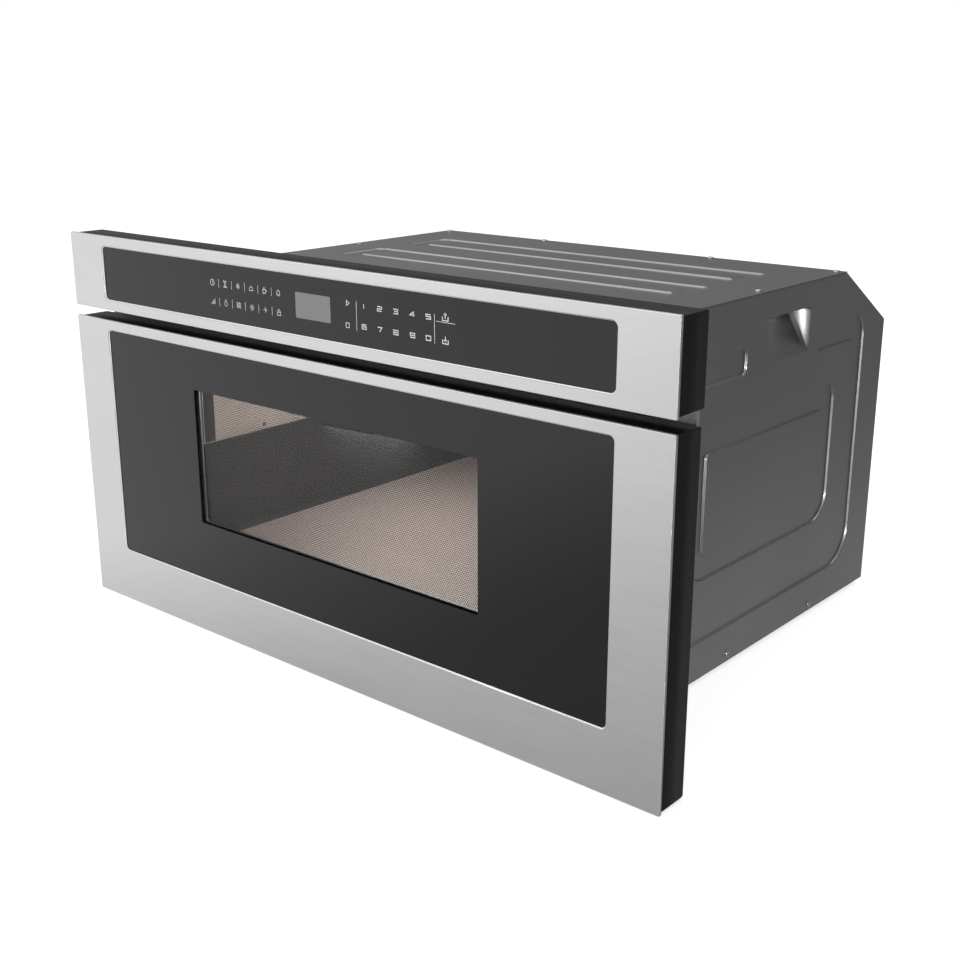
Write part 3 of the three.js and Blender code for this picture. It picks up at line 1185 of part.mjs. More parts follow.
/** The gland of the supply lead: a flange outside, a neck through the panel and a nut inside. */
function cordGland() {
  const face = REAR_PANEL + SHEET + SEAT_GAP;
  const { radius, flange, nut, length, bore } = GLAND;
  const inside = -SHEET - 2 * SEAT_GAP;
  const profile = [
    [bore, -length], [radius + nut, -length], [radius + nut, inside], [radius, inside],
    [radius, 0], [radius + flange, 0], [radius, bore], [bore, bore], [bore, -length],
  ];
  const points = profile.map(([distance, level]) => new THREE.Vector2(distance, level));
  const geometry = new THREE.LatheGeometry(points, 14).translate(GLAND.x, face, GLAND.z);
  return solid(geometry);
}

/** The base pan with flanges, stiffening channels and pressed feet. */
function basePan() {
  const half = SIDE_INNER - 2 * SEAT_GAP;
  const front = CAVITY_FRONT + SHEET + SEAT_GAP;
  const rear = REAR_PANEL - SEAT_GAP;
  const rim = BASE_TOP + PAN_RIM;
  const sill = RAIL_CENTRE - RAIL_HEIGHT / 2 - 2;
  const tray = block(-half, half, front, rear, FOOT_HEIGHT, rim)
    .subtract(block(SHEET - half, half - SHEET, front + SHEET, rear - SHEET, BASE_TOP, rim + 1))
    .subtract(block(SHEET - half, half - SHEET, front - 1, front + SHEET + 1, sill, rim + 1));
  const { half: footHalf, depth, setback, inset, draft } = PAN_FOOT;
  const feet = [front + setback - 2, rear - setback].flatMap((y) => [-1, 1].map((side) => {
    const x = side * (CAVITY_HALF - inset);
    return { u0: x - footHalf, u1: x + footHalf, v0: y - depth, v1: y + depth };
  }));
  const press = (rect, low, high, wall) => loft('z', [
    roundedLoop(grown(rect, -draft - wall), draft, 2), roundedLoop(grown(rect, -wall), draft + 3, 2),
  ], [low, high]);
  const outside = joined(feet.map((rect) => press(rect, 0, BASE_TOP, 0)));
  const inside = joined(feet.map((rect) => press(rect, SHEET, BASE_TOP + 1, SHEET)));
  const reach = PAN_VENT.length / 2;
  const vents = [-2, -1, 0, 1, 2].map((i) => {
    const x = i * PAN_VENT.pitch;
    return block(x - PAN_VENT.half, x + PAN_VENT.half, STIRRER_Y - reach, STIRRER_Y + reach,
      FOOT_HEIGHT - 1, BASE_TOP + 1);
  });
  return tray.add(outside).subtract(inside).subtract(joined(vents));
}

piece('front_frame', frontFrame(), FINISHES.zincSteel);
piece('side_panel_right', sidePanel(), FINISHES.cabinetSteel);
piece('side_panel_left', mirrored(sidePanel()), FINISHES.cabinetSteel);
piece('top_panel', topPanel(), FINISHES.cabinetSteel);
piece('rear_panel', rearPanel(), FINISHES.zincSteel);
piece('cord_gland', cordGland(), FINISHES.blackPart);
piece('base_pan', basePan(), FINISHES.zincSteel);

// ---------------------------------------------------------------- oven cavity

function cavitySide() {
  const section = strip([
    [CAVITY_HALF + SHEET / 2, CAVITY_FLOOR + SEAT_GAP],
    [CAVITY_HALF + SHEET / 2, CEILING - SEAT_GAP - SHEET / 2],
    [CAVITY_HALF + FLANGE, CEILING - SEAT_GAP - SHEET / 2],
  ], SHEET);
  return prism('y', section, CAVITY_FRONT, CAVITY_REAR);
}

/** The ceiling with its upward dish for the stirrer. */
function cavityCeiling() {
  const half = CAVITY_HALF + FLANGE;
  const sheet = block(-half, half, CAVITY_FRONT, CAVITY_REAR, CEILING, CEILING + SHEET);
  const dish = turned([
    [0, CEILING], [DISH_RADIUS + SHEET, CEILING], [DISH_RADIUS - DISH_SLOPE + SHEET, DISH_TOP], [0, DISH_TOP],
  ], 0, STIRRER_Y, 24);
  const hollow = turned([
    [0, CEILING - 1], [DISH_RADIUS, CEILING - 1], [DISH_RADIUS, CEILING],
    [DISH_RADIUS - DISH_SLOPE, DISH_TOP - SHEET], [0, DISH_TOP - SHEET],
  ], 0, STIRRER_Y, 24);
  return sheet.add(dish).subtract(hollow)
    .subtract(rod('z', [0, STIRRER_Y], DISH_PORT, CEILING, DISH_TOP + 1, 16));
}

/** The cavity's rear sheet; its two legs stand on the base, behind the slides' ends. */
function cavityRear() {
  const half = CAVITY_HALF + FLANGE;
  const y0 = CAVITY_REAR + SEAT_GAP;
  const top = CEILING + SHEET + FLANGE;
  const { x0, x1 } = CAVITY_LEG;
  const upper = block(-half, half, y0, y0 + SHEET, CAVITY_FLOOR - SHEET, top);
  const shelf = block(x0, x1, y0, LEG_FRONT + SHEET, CAVITY_FLOOR - SHEET, CAVITY_FLOOR);
  const leg = block(x0, x1, LEG_FRONT, LEG_FRONT + SHEET, BASE_TOP + SEAT_GAP, CAVITY_FLOOR);
  const ventTop = CEILING - CAVITY_VENT.drop;
  const vents = [-3, -2, -1, 0, 1, 2, 3].map((column) => {
    const x = column * CAVITY_VENT.pitch;
    return block(x - CAVITY_VENT.half, x + CAVITY_VENT.half, y0 - 1, y0 + SHEET + 1,
      ventTop - CAVITY_VENT.height, ventTop);
  });
  return upper.add(both(shelf.add(leg))).subtract(joined(vents));
}

/** A rectangular guide over the ceiling, with ports to the dish and the magnetron. */
function waveguide() {
  const half = WAVEGUIDE_WIDTH / 2;
  const front = STIRRER_Y - half;
  const rear = magnetronCentre + MAGNETRON_DEPTH / 2 - 15;
  const t = FRAME_SHEET;
  const foot = CEILING + SHEET + SEAT_GAP + t / 2;
  const stayRear = CAVITY_REAR - 25;
  const stay = strip([[stayRear - 15, foot], [stayRear, foot], [stayRear, WAVEGUIDE_BOTTOM + 0.5]], t);
  const port = (y, radius) => rod('z', [0, y], radius, WAVEGUIDE_BOTTOM - 1, WAVEGUIDE_BOTTOM + t + 1, 12);
  const shaftRadius = STIRRER_SHAFT.radius + 1;
  const shaftHole = rod('z', [0, STIRRER_Y], shaftRadius, WAVEGUIDE_TOP - t - 1, WAVEGUIDE_TOP + 1, 12);
  return block(-half, half, front, rear, WAVEGUIDE_BOTTOM, WAVEGUIDE_TOP)
    .add(prism('x', stay, FLANGE - half, half - FLANGE))
    .subtract(block(t - half, half - t, front + t, rear - t, WAVEGUIDE_BOTTOM + t, WAVEGUIDE_TOP - t))
    .subtract(port(STIRRER_Y, DISH_PORT - 2))
    .subtract(port(magnetronCentre, ANTENNA_RADIUS + 5))
    .subtract(shaftHole);
}

const magnetronCentre = BAY_FRONT - 4 + MAGNETRON_DEPTH / 2;

/** The magnetron: open yoke, stacked cooling fins round the anode, filter box and antenna. */
function magnetron() {
  const top = WAVEGUIDE_BOTTOM - SEAT_GAP;
  const foot = top - MAGNETRON_HEIGHT;
  const half = MAGNETRON_WIDTH / 2;
  const y0 = magnetronCentre - MAGNETRON_DEPTH / 2;
  const y1 = magnetronCentre + MAGNETRON_DEPTH / 2;
  const t = MAGNETRON_YOKE;
  const yokeFoot = foot + MAGNETRON_FILTER.height;
  const yoke = block(-half, half, y0, y1, yokeFoot, top)
    .subtract(block(-half - 1, half + 1, y0 + t, y1 - t, yokeFoot + t, top - t));
  const pitch = (top - yokeFoot) / (MAGNETRON_FINS + 1);
  const fins = Array.from({ length: MAGNETRON_FINS }, (_, i) => {
    const z = yokeFoot + (i + 1) * pitch;
    return block(2 * t - half, half - 2 * t, y0 + 1, y1 - 1, z - 0.4, z + 0.4);
  });
  const { half: filterHalf, inset } = MAGNETRON_FILTER;
  return joined([
    yoke, ...fins,
    rod('z', [0, magnetronCentre], ANODE_RADIUS, yokeFoot + 1, top - 1, 10),
    block(-filterHalf, filterHalf, y0 + inset, y1 - inset, foot, yokeFoot + 1),
    rod('z', [0, magnetronCentre], ANTENNA_RADIUS, top - 1, WAVEGUIDE_TOP - ANTENNA_CLEARANCE, 10),
  ]);
}

const stirrerLevel = CEILING + STIRRER_DROP;

/** The stirrer about its own axis: hub, four tilted vanes and the shaft up to the motor. */
function stirrer() {
  const reach = DISH_RADIUS - STIRRER_CLEARANCE;
  const { root, tip, half, rise, step, thickness } = STIRRER_VANE;
  const vanes = Array.from({ length: 4 }, (_, i) => {
    const line = [[root, 0], [reach - tip, 0], [reach, rise + (i % 2) * step]];
    const turn = new THREE.Matrix4().makeRotationZ(i * Math.PI / 2);
    return solid(geometryOf(prism('y', strip(line, thickness), -half, half)).applyMatrix4(turn));
  });
  const { radius, below, above } = STIRRER_HUB;
  return joined([
    rod('z', [0, 0], radius, -below, above, 16),
    rod('z', [0, 0], STIRRER_SHAFT.radius, above - 1, WAVEGUIDE_TOP + STIRRER_SHAFT.entry - stirrerLevel, 12),
    ...vanes,
  ]);
}

function stirrerMotor() {
  const foot = WAVEGUIDE_TOP + SEAT_GAP;
  const { radius, lug, lugHalf, plug } = STIRRER_MOTOR;
  return joined([
    rod('z', [0, STIRRER_Y], radius, foot, STIRRER_MOTOR_TOP, 16),
    block(-lug, lug, STIRRER_Y - lugHalf, STIRRER_Y + lugHalf, foot, foot + BRACKET_SHEET),
    block(-plug, plug, STIRRER_Y + radius - 5, STIRRER_Y + radius + plug, foot + 3, STIRRER_MOTOR_TOP - 3),
  ]).subtract(rod('z', [0, STIRRER_Y], STIRRER_SHAFT.radius + RUNNING_GAP, foot - 1, foot + 12, 12));
}

function stirrerCover() {
  const { lap, thickness, corner } = STIRRER_COVER;
  const half = DISH_RADIUS + lap;
  const top = CEILING - SEAT_GAP;
  const rect = { u0: -half, u1: half, v0: STIRRER_Y - half, v1: STIRRER_Y + half };
  const loops = [-1.5, 0, 0].map((grow) => roundedLoop(grown(rect, grow), corner + grow));
  return loft('z', loops, [top - thickness, top - thickness / 2, top]);
}

const cavityFloor = block(-CAVITY_OUTER, CAVITY_OUTER, CAVITY_FRONT, CAVITY_REAR,
  CAVITY_FLOOR - SHEET, CAVITY_FLOOR);
piece('cavity_floor', cavityFloor, FINISHES.ovenEnamel);
piece('cavity_side_right', cavitySide(), FINISHES.ovenEnamel);
piece('cavity_side_left', mirrored(cavitySide()), FINISHES.ovenEnamel);
piece('cavity_ceiling', cavityCeiling(), FINISHES.ovenEnamel);
piece('cavity_rear', cavityRear(), FINISHES.ovenEnamel);
piece('stirrer_cover', stirrerCover(), FINISHES.mica);
piece('waveguide', waveguide(), FINISHES.zincSteel);
piece('magnetron', magnetron(), FINISHES.castAluminium);
piece('stirrer_motor', stirrerMotor(), FINISHES.blackPart);
const stirrerPiece = piece('stirrer', stirrer(), FINISHES.castAluminium);
stirrerPiece.position.set(0, STIRRER_Y, stirrerLevel);

// ---------------------------------------------------------------- rear bay: transformer, capacitor, fan

/** Laminated core with two windows round the middle leg, on a mounting plate. */
function transformerCore() {
  const foot = BASE_TOP + SEAT_GAP;
  const { half: leg, window: opening } = CORE_LEG;
  const half = leg * 2 + opening;
  const y0 = BAY_CENTRE - CORE_DEPTH / 2;
  const y1 = BAY_CENTRE + CORE_DEPTH / 2;
  const z0 = foot + CORE_PLATE.thickness;
  const z1 = foot + TRANSFORMER_HEIGHT;
  const window = block(leg, leg + opening, y0 - 1, y1 + 1, z0 + leg, z1 - leg);
  const plateHalf = TRANSFORMER_WIDTH / 2 + CORE_PLATE.lap;
  const plate = block(-plateHalf, plateHalf, y0 + CORE_PLATE.inset, y1 - CORE_PLATE.inset, foot, z0 + 0.5);
  const core = block(-half, half, y0, y1, z0, z1).subtract(both(window)).add(plate);
  return core.translate([TRANSFORMER_OFFSET, 0, 0]);
}

/** The two windings round the middle leg, bulging out of both windows. */
function transformerCoils() {
  const foot = BASE_TOP + SEAT_GAP;
  const { half: leg, window: opening } = CORE_LEG;
  const inner = leg + SEAT_GAP;
  const outer = leg + opening - SEAT_GAP;
  const z0 = foot + CORE_PLATE.thickness + leg + SEAT_GAP;
  const z1 = foot + TRANSFORMER_HEIGHT - leg - SEAT_GAP;
  const middle = (z0 + z1) / 2;
  const depth = TRANSFORMER_DEPTH / 2;
  const boreDepth = CORE_DEPTH / 2 + SEAT_GAP;
  const rect = { u0: -outer, u1: outer, v0: BAY_CENTRE - depth, v1: BAY_CENTRE + depth };
  const bore = block(-inner, inner, BAY_CENTRE - boreDepth, BAY_CENTRE + boreDepth, z0 - 1, z1 + 1);
  const loops = [-3, 0, 0, -4, 0, 0, -3].map((grow) => roundedLoop(grown(rect, grow), leg - 1 + grow, 3));
  const levels = [z0, z0 + 3, middle - 4, middle, middle + 4, z1 - 3, z1];
  return loft('z', loops, levels).subtract(bore).translate([TRANSFORMER_OFFSET, 0, 0]);
}

/** The oval capacitor can on its side, with its clamp foot and two tabs. */
function capacitor() {
  const foot = BASE_TOP + SEAT_GAP;
  const { x, length, width, height, lift } = CAPACITOR;
  const half = width / 2;
  const end = x + length;
  const rect = { u0: BAY_CENTRE - half, u1: BAY_CENTRE + half, v0: foot + lift, v1: foot + lift + height };
  const can = roundedPlate('x', rect, height / 2 - 0.1, x, end, 5);
  const reach = half + CAPACITOR_CLAMP.lap;
  const clamp = block(CAPACITOR_CLAMP.x, CAPACITOR_CLAMP.x + CAPACITOR_CLAMP.width,
    BAY_CENTRE - reach, BAY_CENTRE + reach, foot, foot + CAPACITOR_CLAMP.thickness);
  const middle = foot + lift + height / 2;
  const { half: tabHalf, thickness } = CAPACITOR_TAB;
  const tabs = [-1, 1].map((side) => {
    const y = BAY_CENTRE + side * CAPACITOR_TAB.spread;
    return block(end - 1, end + CAPACITOR_TAB.length, y - tabHalf, y + tabHalf,
      middle - thickness / 2, middle + thickness / 2);
  });
  return joined([can, clamp, ...tabs]);
}

const fanRear = REAR_PANEL - SEAT_GAP;
const fanFront = fanRear - FAN_DEPTH;

/** The square fan frame with a bell-mouthed bore and the struts that hold the motor. */
function fanShroud() {
  const half = FAN_SIZE / 2;
  const { x, z } = fanCentre;
  const rect = { u0: x - half, u1: x + half, v0: z - half, v1: z + half };
  const plate = roundedPlate('y', rect, FAN_FLANGE.corner, fanRear - FAN_FLANGE.rear, fanRear);
  const frontPlate = roundedPlate('y', rect, FAN_FLANGE.corner, fanFront, fanFront + FAN_FLANGE.front);
  const wall = rod('y', [x, z], FAN_BORE + HOUSING_WALL, fanFront, fanRear, 20);
  const bore = rod('y', [x, z], FAN_BORE, fanFront - 1, fanRear + 1, 20);
  const seat = rod('y', [x, z], FAN_MOTOR.radius + SEAT_GAP, fanFront - 1, fanFront + FAN_MOTOR.ring + 1, 20);
  const ring = rod('y', [x, z], FAN_MOTOR.radius + FAN_MOTOR.ring, fanFront, fanFront + FAN_MOTOR.ring, 20);
  const struts = [0, 1, 2].map((i) => {
    const strut = block(FAN_MOTOR.radius - 4, FAN_BORE + 1, fanFront, fanFront + FAN_MOTOR.ring,
      -HOUSING_WALL, HOUSING_WALL);
    const turn = new THREE.Matrix4().makeRotationY(i * 2 * Math.PI / 3 + 0.5);
    return solid(geometryOf(strut).applyMatrix4(turn).translate(x, 0, z));
  });
  return joined([plate, frontPlate, wall]).subtract(bore).add(joined([ring, ...struts]).subtract(seat));
}

function fanMotor() {
  const { x, z } = fanCentre;
  const rear = fanFront + FAN_MOTOR.behind;
  return rod('y', [x, z], FAN_MOTOR.radius, fanFront - FAN_MOTOR.ahead, rear, 20)
    .add(rod('y', [x, z], FAN_SHAFT.radius, rear - 1, rear + FAN_SHAFT.length, 12));
}

/** The impeller about its own axis: hub with seven swept blades. */
function fanImpeller() {
  const hub = rod('y', [0, 0], FAN_HUB.radius, -FAN_HUB.half, FAN_HUB.half, 20);
  const sections = [0, 0.5, 1].map((share) => {
    const radius = THREE.MathUtils.lerp(FAN_HUB.radius - 3, FAN_BORE - HOUSING_WALL, share);
    const pitch = THREE.MathUtils.lerp(0.75, 0.42, share);
    const sweep = -0.28 * share;
    const half = THREE.MathUtils.lerp(11, 17, share);
    const corner = (along, lift) => {
      const around = sweep + (along * Math.cos(pitch)) / radius;
      return [radius * Math.cos(around), along * Math.sin(pitch) + lift, radius * Math.sin(around)];
    };
    return [
      corner(-half, -0.7), corner(0, -2.2), corner(half, -0.7),
      corner(half, 0.7), corner(0, -0.6), corner(-half, 0.7),
    ];
  });
  const blades = Array.from({ length: FAN_BLADES }, (_, i) => {
    const turn = new THREE.Matrix4().makeRotationY(2 * Math.PI * i / FAN_BLADES);
    return solid(skin(sections).applyMatrix4(turn));
  });
  const bore = rod('y', [0, 0], FAN_SHAFT.radius + SEAT_GAP, -30, FAN_HUB.half - 2, 12);
  return joined([hub, ...blades]).subtract(bore);
}

/** A closed geometry through rings of points in space. */
function skin(rings) {
  const count = rings[0].length;
  const index = [];
  for (let ring = 0; ring + 1 < rings.length; ring += 1) {
    for (let i = 0; i < count; i += 1) {
      const a = ring * count + i;
      const b = ring * count + (i + 1) % count;
      index.push(a, b, b + count, a, b + count, a + count);
    }
  }
  const last = (rings.length - 1) * count;
  const cap = [[0, 1, 5], [1, 4, 5], [1, 2, 4], [2, 3, 4]];
  cap.forEach(([a, b, c]) => index.push(a, c, b, last + a, last + b, last + c));
  const geometry = new THREE.BufferGeometry();
  geometry.setAttribute('position', new THREE.Float32BufferAttribute(rings.flat(2), 3));
  geometry.setIndex(index);
  return geometry;
}

/** The hood that leads the fan's air to the magnetron. */
function airDuct() {
  const t = DUCT_SHEET;
  const half = FAN_SIZE / 2;
  const x0 = MAGNETRON_WIDTH / 2 + 3;
  const x1 = fanCentre.x + half;
  const y0 = BAY_FRONT - 4;
  const y1 = fanFront - SEAT_GAP;
  const z0 = fanCentre.z - half;
  const z1 = fanCentre.z + half;
  return block(x0, x1, y0, y1, z0, z1)
    .subtract(block(x0 - 1, x1 - t, y0 + t, y1 + 1, z0 + t, z1 - t));
}

piece('transformer_core', transformerCore(), FINISHES.laminatedIron);
piece('transformer_coils', transformerCoils(), FINISHES.copperWinding);
piece('capacitor', capacitor(), FINISHES.castAluminium);
piece('fan_shroud', fanShroud(), FINISHES.blackPart);
piece('fan_motor', fanMotor(), FINISHES.laminatedIron);
const impeller = piece('fan_impeller', fanImpeller(), FINISHES.greyPlastic);
impeller.position.set(fanCentre.x, fanFront + FAN_HUB.behind, fanCentre.z);
piece('air_duct', airDuct(), FINISHES.greyPlastic);

// ---------------------------------------------------------------- electronics over the oven

/** Four posts under a board, from the sheet below it. */
function boardPosts(x0, y0, { width, length }, from, to) {
  const { radius, inset } = BOARD_POST;
  return [x0 + inset, x0 + width - inset].flatMap((x) => (
    [y0 + inset, y0 + length - inset].map((y) => rod('z', [x, y], radius, from, to, 8))));
}

/** A part on a board; its place is given in shares of the board and of the tallest part. */
function boardPart(x0, y0, { width, length, parts }, level, [xa, xb, ya, yb, height]) {
  return block(x0 + xa * width, x0 + xb * width, y0 + ya * length, y0 + yb * length,
    level - 0.5, level + height * parts);
}

/** The power board on its posts, with relays, a small transformer and connectors. */
function powerBoard() {
  const foot = CEILING + SHEET + SEAT_GAP;
  const x0 = POWER_BOARD.inset - CAVITY_HALF;
  const y0 = FRAME_REAR + POWER_BOARD.setback;
  const under = foot + POWER_BOARD.stand;
  const level = under + BOARD_THICKNESS;
  const parts = [
    [0.07, 0.42, 0.1, 0.42, 1], [0.5, 0.7, 0.1, 0.3, 0.6], [0.74, 0.93, 0.1, 0.3, 0.6],
    [0.1, 0.24, 0.55, 0.9, 0.4], [0.52, 0.8, 0.5, 0.66, 0.3], [0.84, 0.94, 0.53, 0.9, 0.4],
  ].map((place) => boardPart(x0, y0, POWER_BOARD, level, place));
  return joined([
    block(x0, x0 + POWER_BOARD.width, y0, y0 + POWER_BOARD.length, under, level),
    ...boardPosts(x0, y0, POWER_BOARD, foot, under + 1), ...parts,
  ]);
}

function noiseFilter() {
  const foot = CEILING + SHEET + SEAT_GAP;
  const { width, length, stand, parts } = FILTER_BOARD;
  const x0 = CAVITY_HALF - FILTER_BOARD.inset;
  const y0 = FRAME_REAR + FILTER_BOARD.setback;
  const under = foot + stand;
  const level = under + BOARD_THICKNESS;
  const outer = width / 6;
  const inner = outer * 0.43;
  const top = level + parts * 0.66;
  const toroid = turned([
    [inner, level - 0.5], [outer, level - 0.5], [outer, top], [inner, top], [inner, level - 0.5],
  ], x0 + 0.28 * width, y0 + length / 2, 12);
  const blocks = [[0.55, 0.86, 0.18, 0.46, 1], [0.55, 0.86, 0.6, 0.82, 0.75]];
  return joined([
    block(x0, x0 + width, y0, y0 + length, under, level), toroid,
    ...boardPosts(x0, y0, FILTER_BOARD, foot, under + 1),
    ...blocks.map((place) => boardPart(x0, y0, FILTER_BOARD, level, place)),
  ]);
}

/** The lamp holder on the outside of the cavity wall, bulb towards the vent. */
function ovenLamp() {
  const x0 = CAVITY_OUTER + SEAT_GAP;
  const centre = [FRAME_REAR + LAMP.setback, CEILING - LAMP.drop];
  const half = LAMP.radius + 3;
  const [y, z] = centre;
  const plate = { u0: y - half - 4, u1: y + half + 4, v0: z - half, v1: z + half };
  return joined([
    roundedPlate('x', plate, 4, x0, x0 + LAMP.plate),
    rod('x', centre, LAMP.radius, x0 + 1, x0 + LAMP.length, 16),
    rod('x', centre, LAMP.tip, x0 + LAMP.length - 1, x0 + LAMP.length + LAMP.tipLength - 1, 12),
  ]);
}

piece('power_board', powerBoard(), FINISHES.circuitBoard);
piece('noise_filter', noiseFilter(), FINISHES.circuitBoard);
piece('oven_lamp', ovenLamp(), FINISHES.whitePlastic);

export default unit;
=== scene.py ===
"""Built-in microwave drawer: brushed steel front, pressed cabinet, sliding oven tub.

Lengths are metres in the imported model's frame: +Z up, +X to the viewer's right, and the
front looks along -Y. Sizes that a maker would read off a drawing are written with mm().
"""
import logging
import math
from collections.abc import Callable, Iterable, Mapping, Sequence
from dataclasses import dataclass, field
from enum import Enum
from functools import cache, cached_property

import bmesh
import bpy
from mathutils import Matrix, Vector
from mathutils.geometry import delaunay_2d_cdt


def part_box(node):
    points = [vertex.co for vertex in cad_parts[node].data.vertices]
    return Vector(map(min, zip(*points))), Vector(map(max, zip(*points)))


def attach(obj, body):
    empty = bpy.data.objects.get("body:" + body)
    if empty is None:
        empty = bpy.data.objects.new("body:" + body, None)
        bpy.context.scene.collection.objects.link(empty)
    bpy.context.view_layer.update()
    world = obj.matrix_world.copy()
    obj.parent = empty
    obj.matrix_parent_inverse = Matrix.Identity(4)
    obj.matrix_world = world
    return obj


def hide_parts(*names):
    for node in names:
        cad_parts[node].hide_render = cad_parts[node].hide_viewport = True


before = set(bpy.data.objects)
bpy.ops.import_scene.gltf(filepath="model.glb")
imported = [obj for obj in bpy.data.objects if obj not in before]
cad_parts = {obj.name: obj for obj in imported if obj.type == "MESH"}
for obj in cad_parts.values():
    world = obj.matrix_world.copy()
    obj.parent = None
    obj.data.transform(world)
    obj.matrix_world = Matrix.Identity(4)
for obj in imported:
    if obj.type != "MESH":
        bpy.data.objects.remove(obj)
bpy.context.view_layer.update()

LOG = logging.getLogger("microwave_drawer")

Point = tuple[float, float]
Place = tuple[float, float, float]
Stroke = list[Point]
Tree = bpy.types.NodeTree
Socket = bpy.types.NodeSocket


def mm(value: float) -> float:
    """Gives a length in metres from millimetres."""
    return value / 1000.0


# Stretches in a round corner that is looked at closely, and in one that isn't.
FINE_CORNER, COARSE_CORNER = 10, 6
SMALLEST_RADIUS = mm(0.05)
# Points closer than this are one.
WELD = 1e-9
# The triangulation's mode that keeps only what lies inside an outline.
INSIDE_ONLY = 1
# The least that a mitre's half-angle term may come to, so that a sharp turn has no long spike.
MITRE_LIMIT = 0.1
# Nearly all of a noise pattern lies between these.
NOISE_RANGE = {"From Min": 0.3, "From Max": 0.7}
NOISE_ROUGHNESS = 0.6
# At a scale of one, the wave pattern's bands repeat at this distance.
WAVE_REPEAT = 0.314


# ---------------------------------------------------------------- colours and shader nodes


def linear(code: str) -> tuple[float, float, float, float]:
    """Turns an sRGB hex colour into the linear colour that shaders work in.

    Args:
        code: The colour as six hex digits.

    Returns:
        Linear red, green and blue, with an alpha of one.
    """
    channels = [int(code[i:i + 2], 16) / 255 for i in (0, 2, 4)]
    straight = [c / 12.92 if c <= 0.04045 else ((c + 0.055) / 1.055) ** 2.4 for c in channels]
    return straight[0], straight[1], straight[2], 1.0


def add_node(
    tree: Tree,
    kind: str,
    settings: Mapping[str | int, object] | None = None,
    links: Mapping[str | int, Socket] | None = None,
) -> bpy.types.Node:
    """Adds one shader node with its settings and incoming links.

    Args:
        tree: The node tree that takes the node.
        kind: The node's type name without its "ShaderNode" prefix.
        settings: Values by a property's name or, failing that, by an input socket's name or number.
        links: Output sockets by the name or number of the input that each one feeds.

    Returns:
        The new node.
    """
    node = tree.nodes.new("ShaderNode" + kind)
    for name, value in (settings or {}).items():
        if isinstance(name, str) and hasattr(node, name):
            setattr(node, name, value)
        else:
            node.inputs[name].default_value = value
    for name, socket in (links or {}).items():
        tree.links.new(socket, node.inputs[name])
    return node


# ---------------------------------------------------------------- finishes


@dataclass(frozen=True)
class Grain:
    """An irregular pattern in a surface: the size of its grains and what they change."""

    size: Place
    detail: float = 2.0
    relief: float = 0.0
    shade: float = 0.0
    gloss: float = 0.0


def evenly(size: float) -> Place:
    """Gives a grain's size, the same along every axis, from millimetres."""
    return mm(size), mm(size), mm(size)


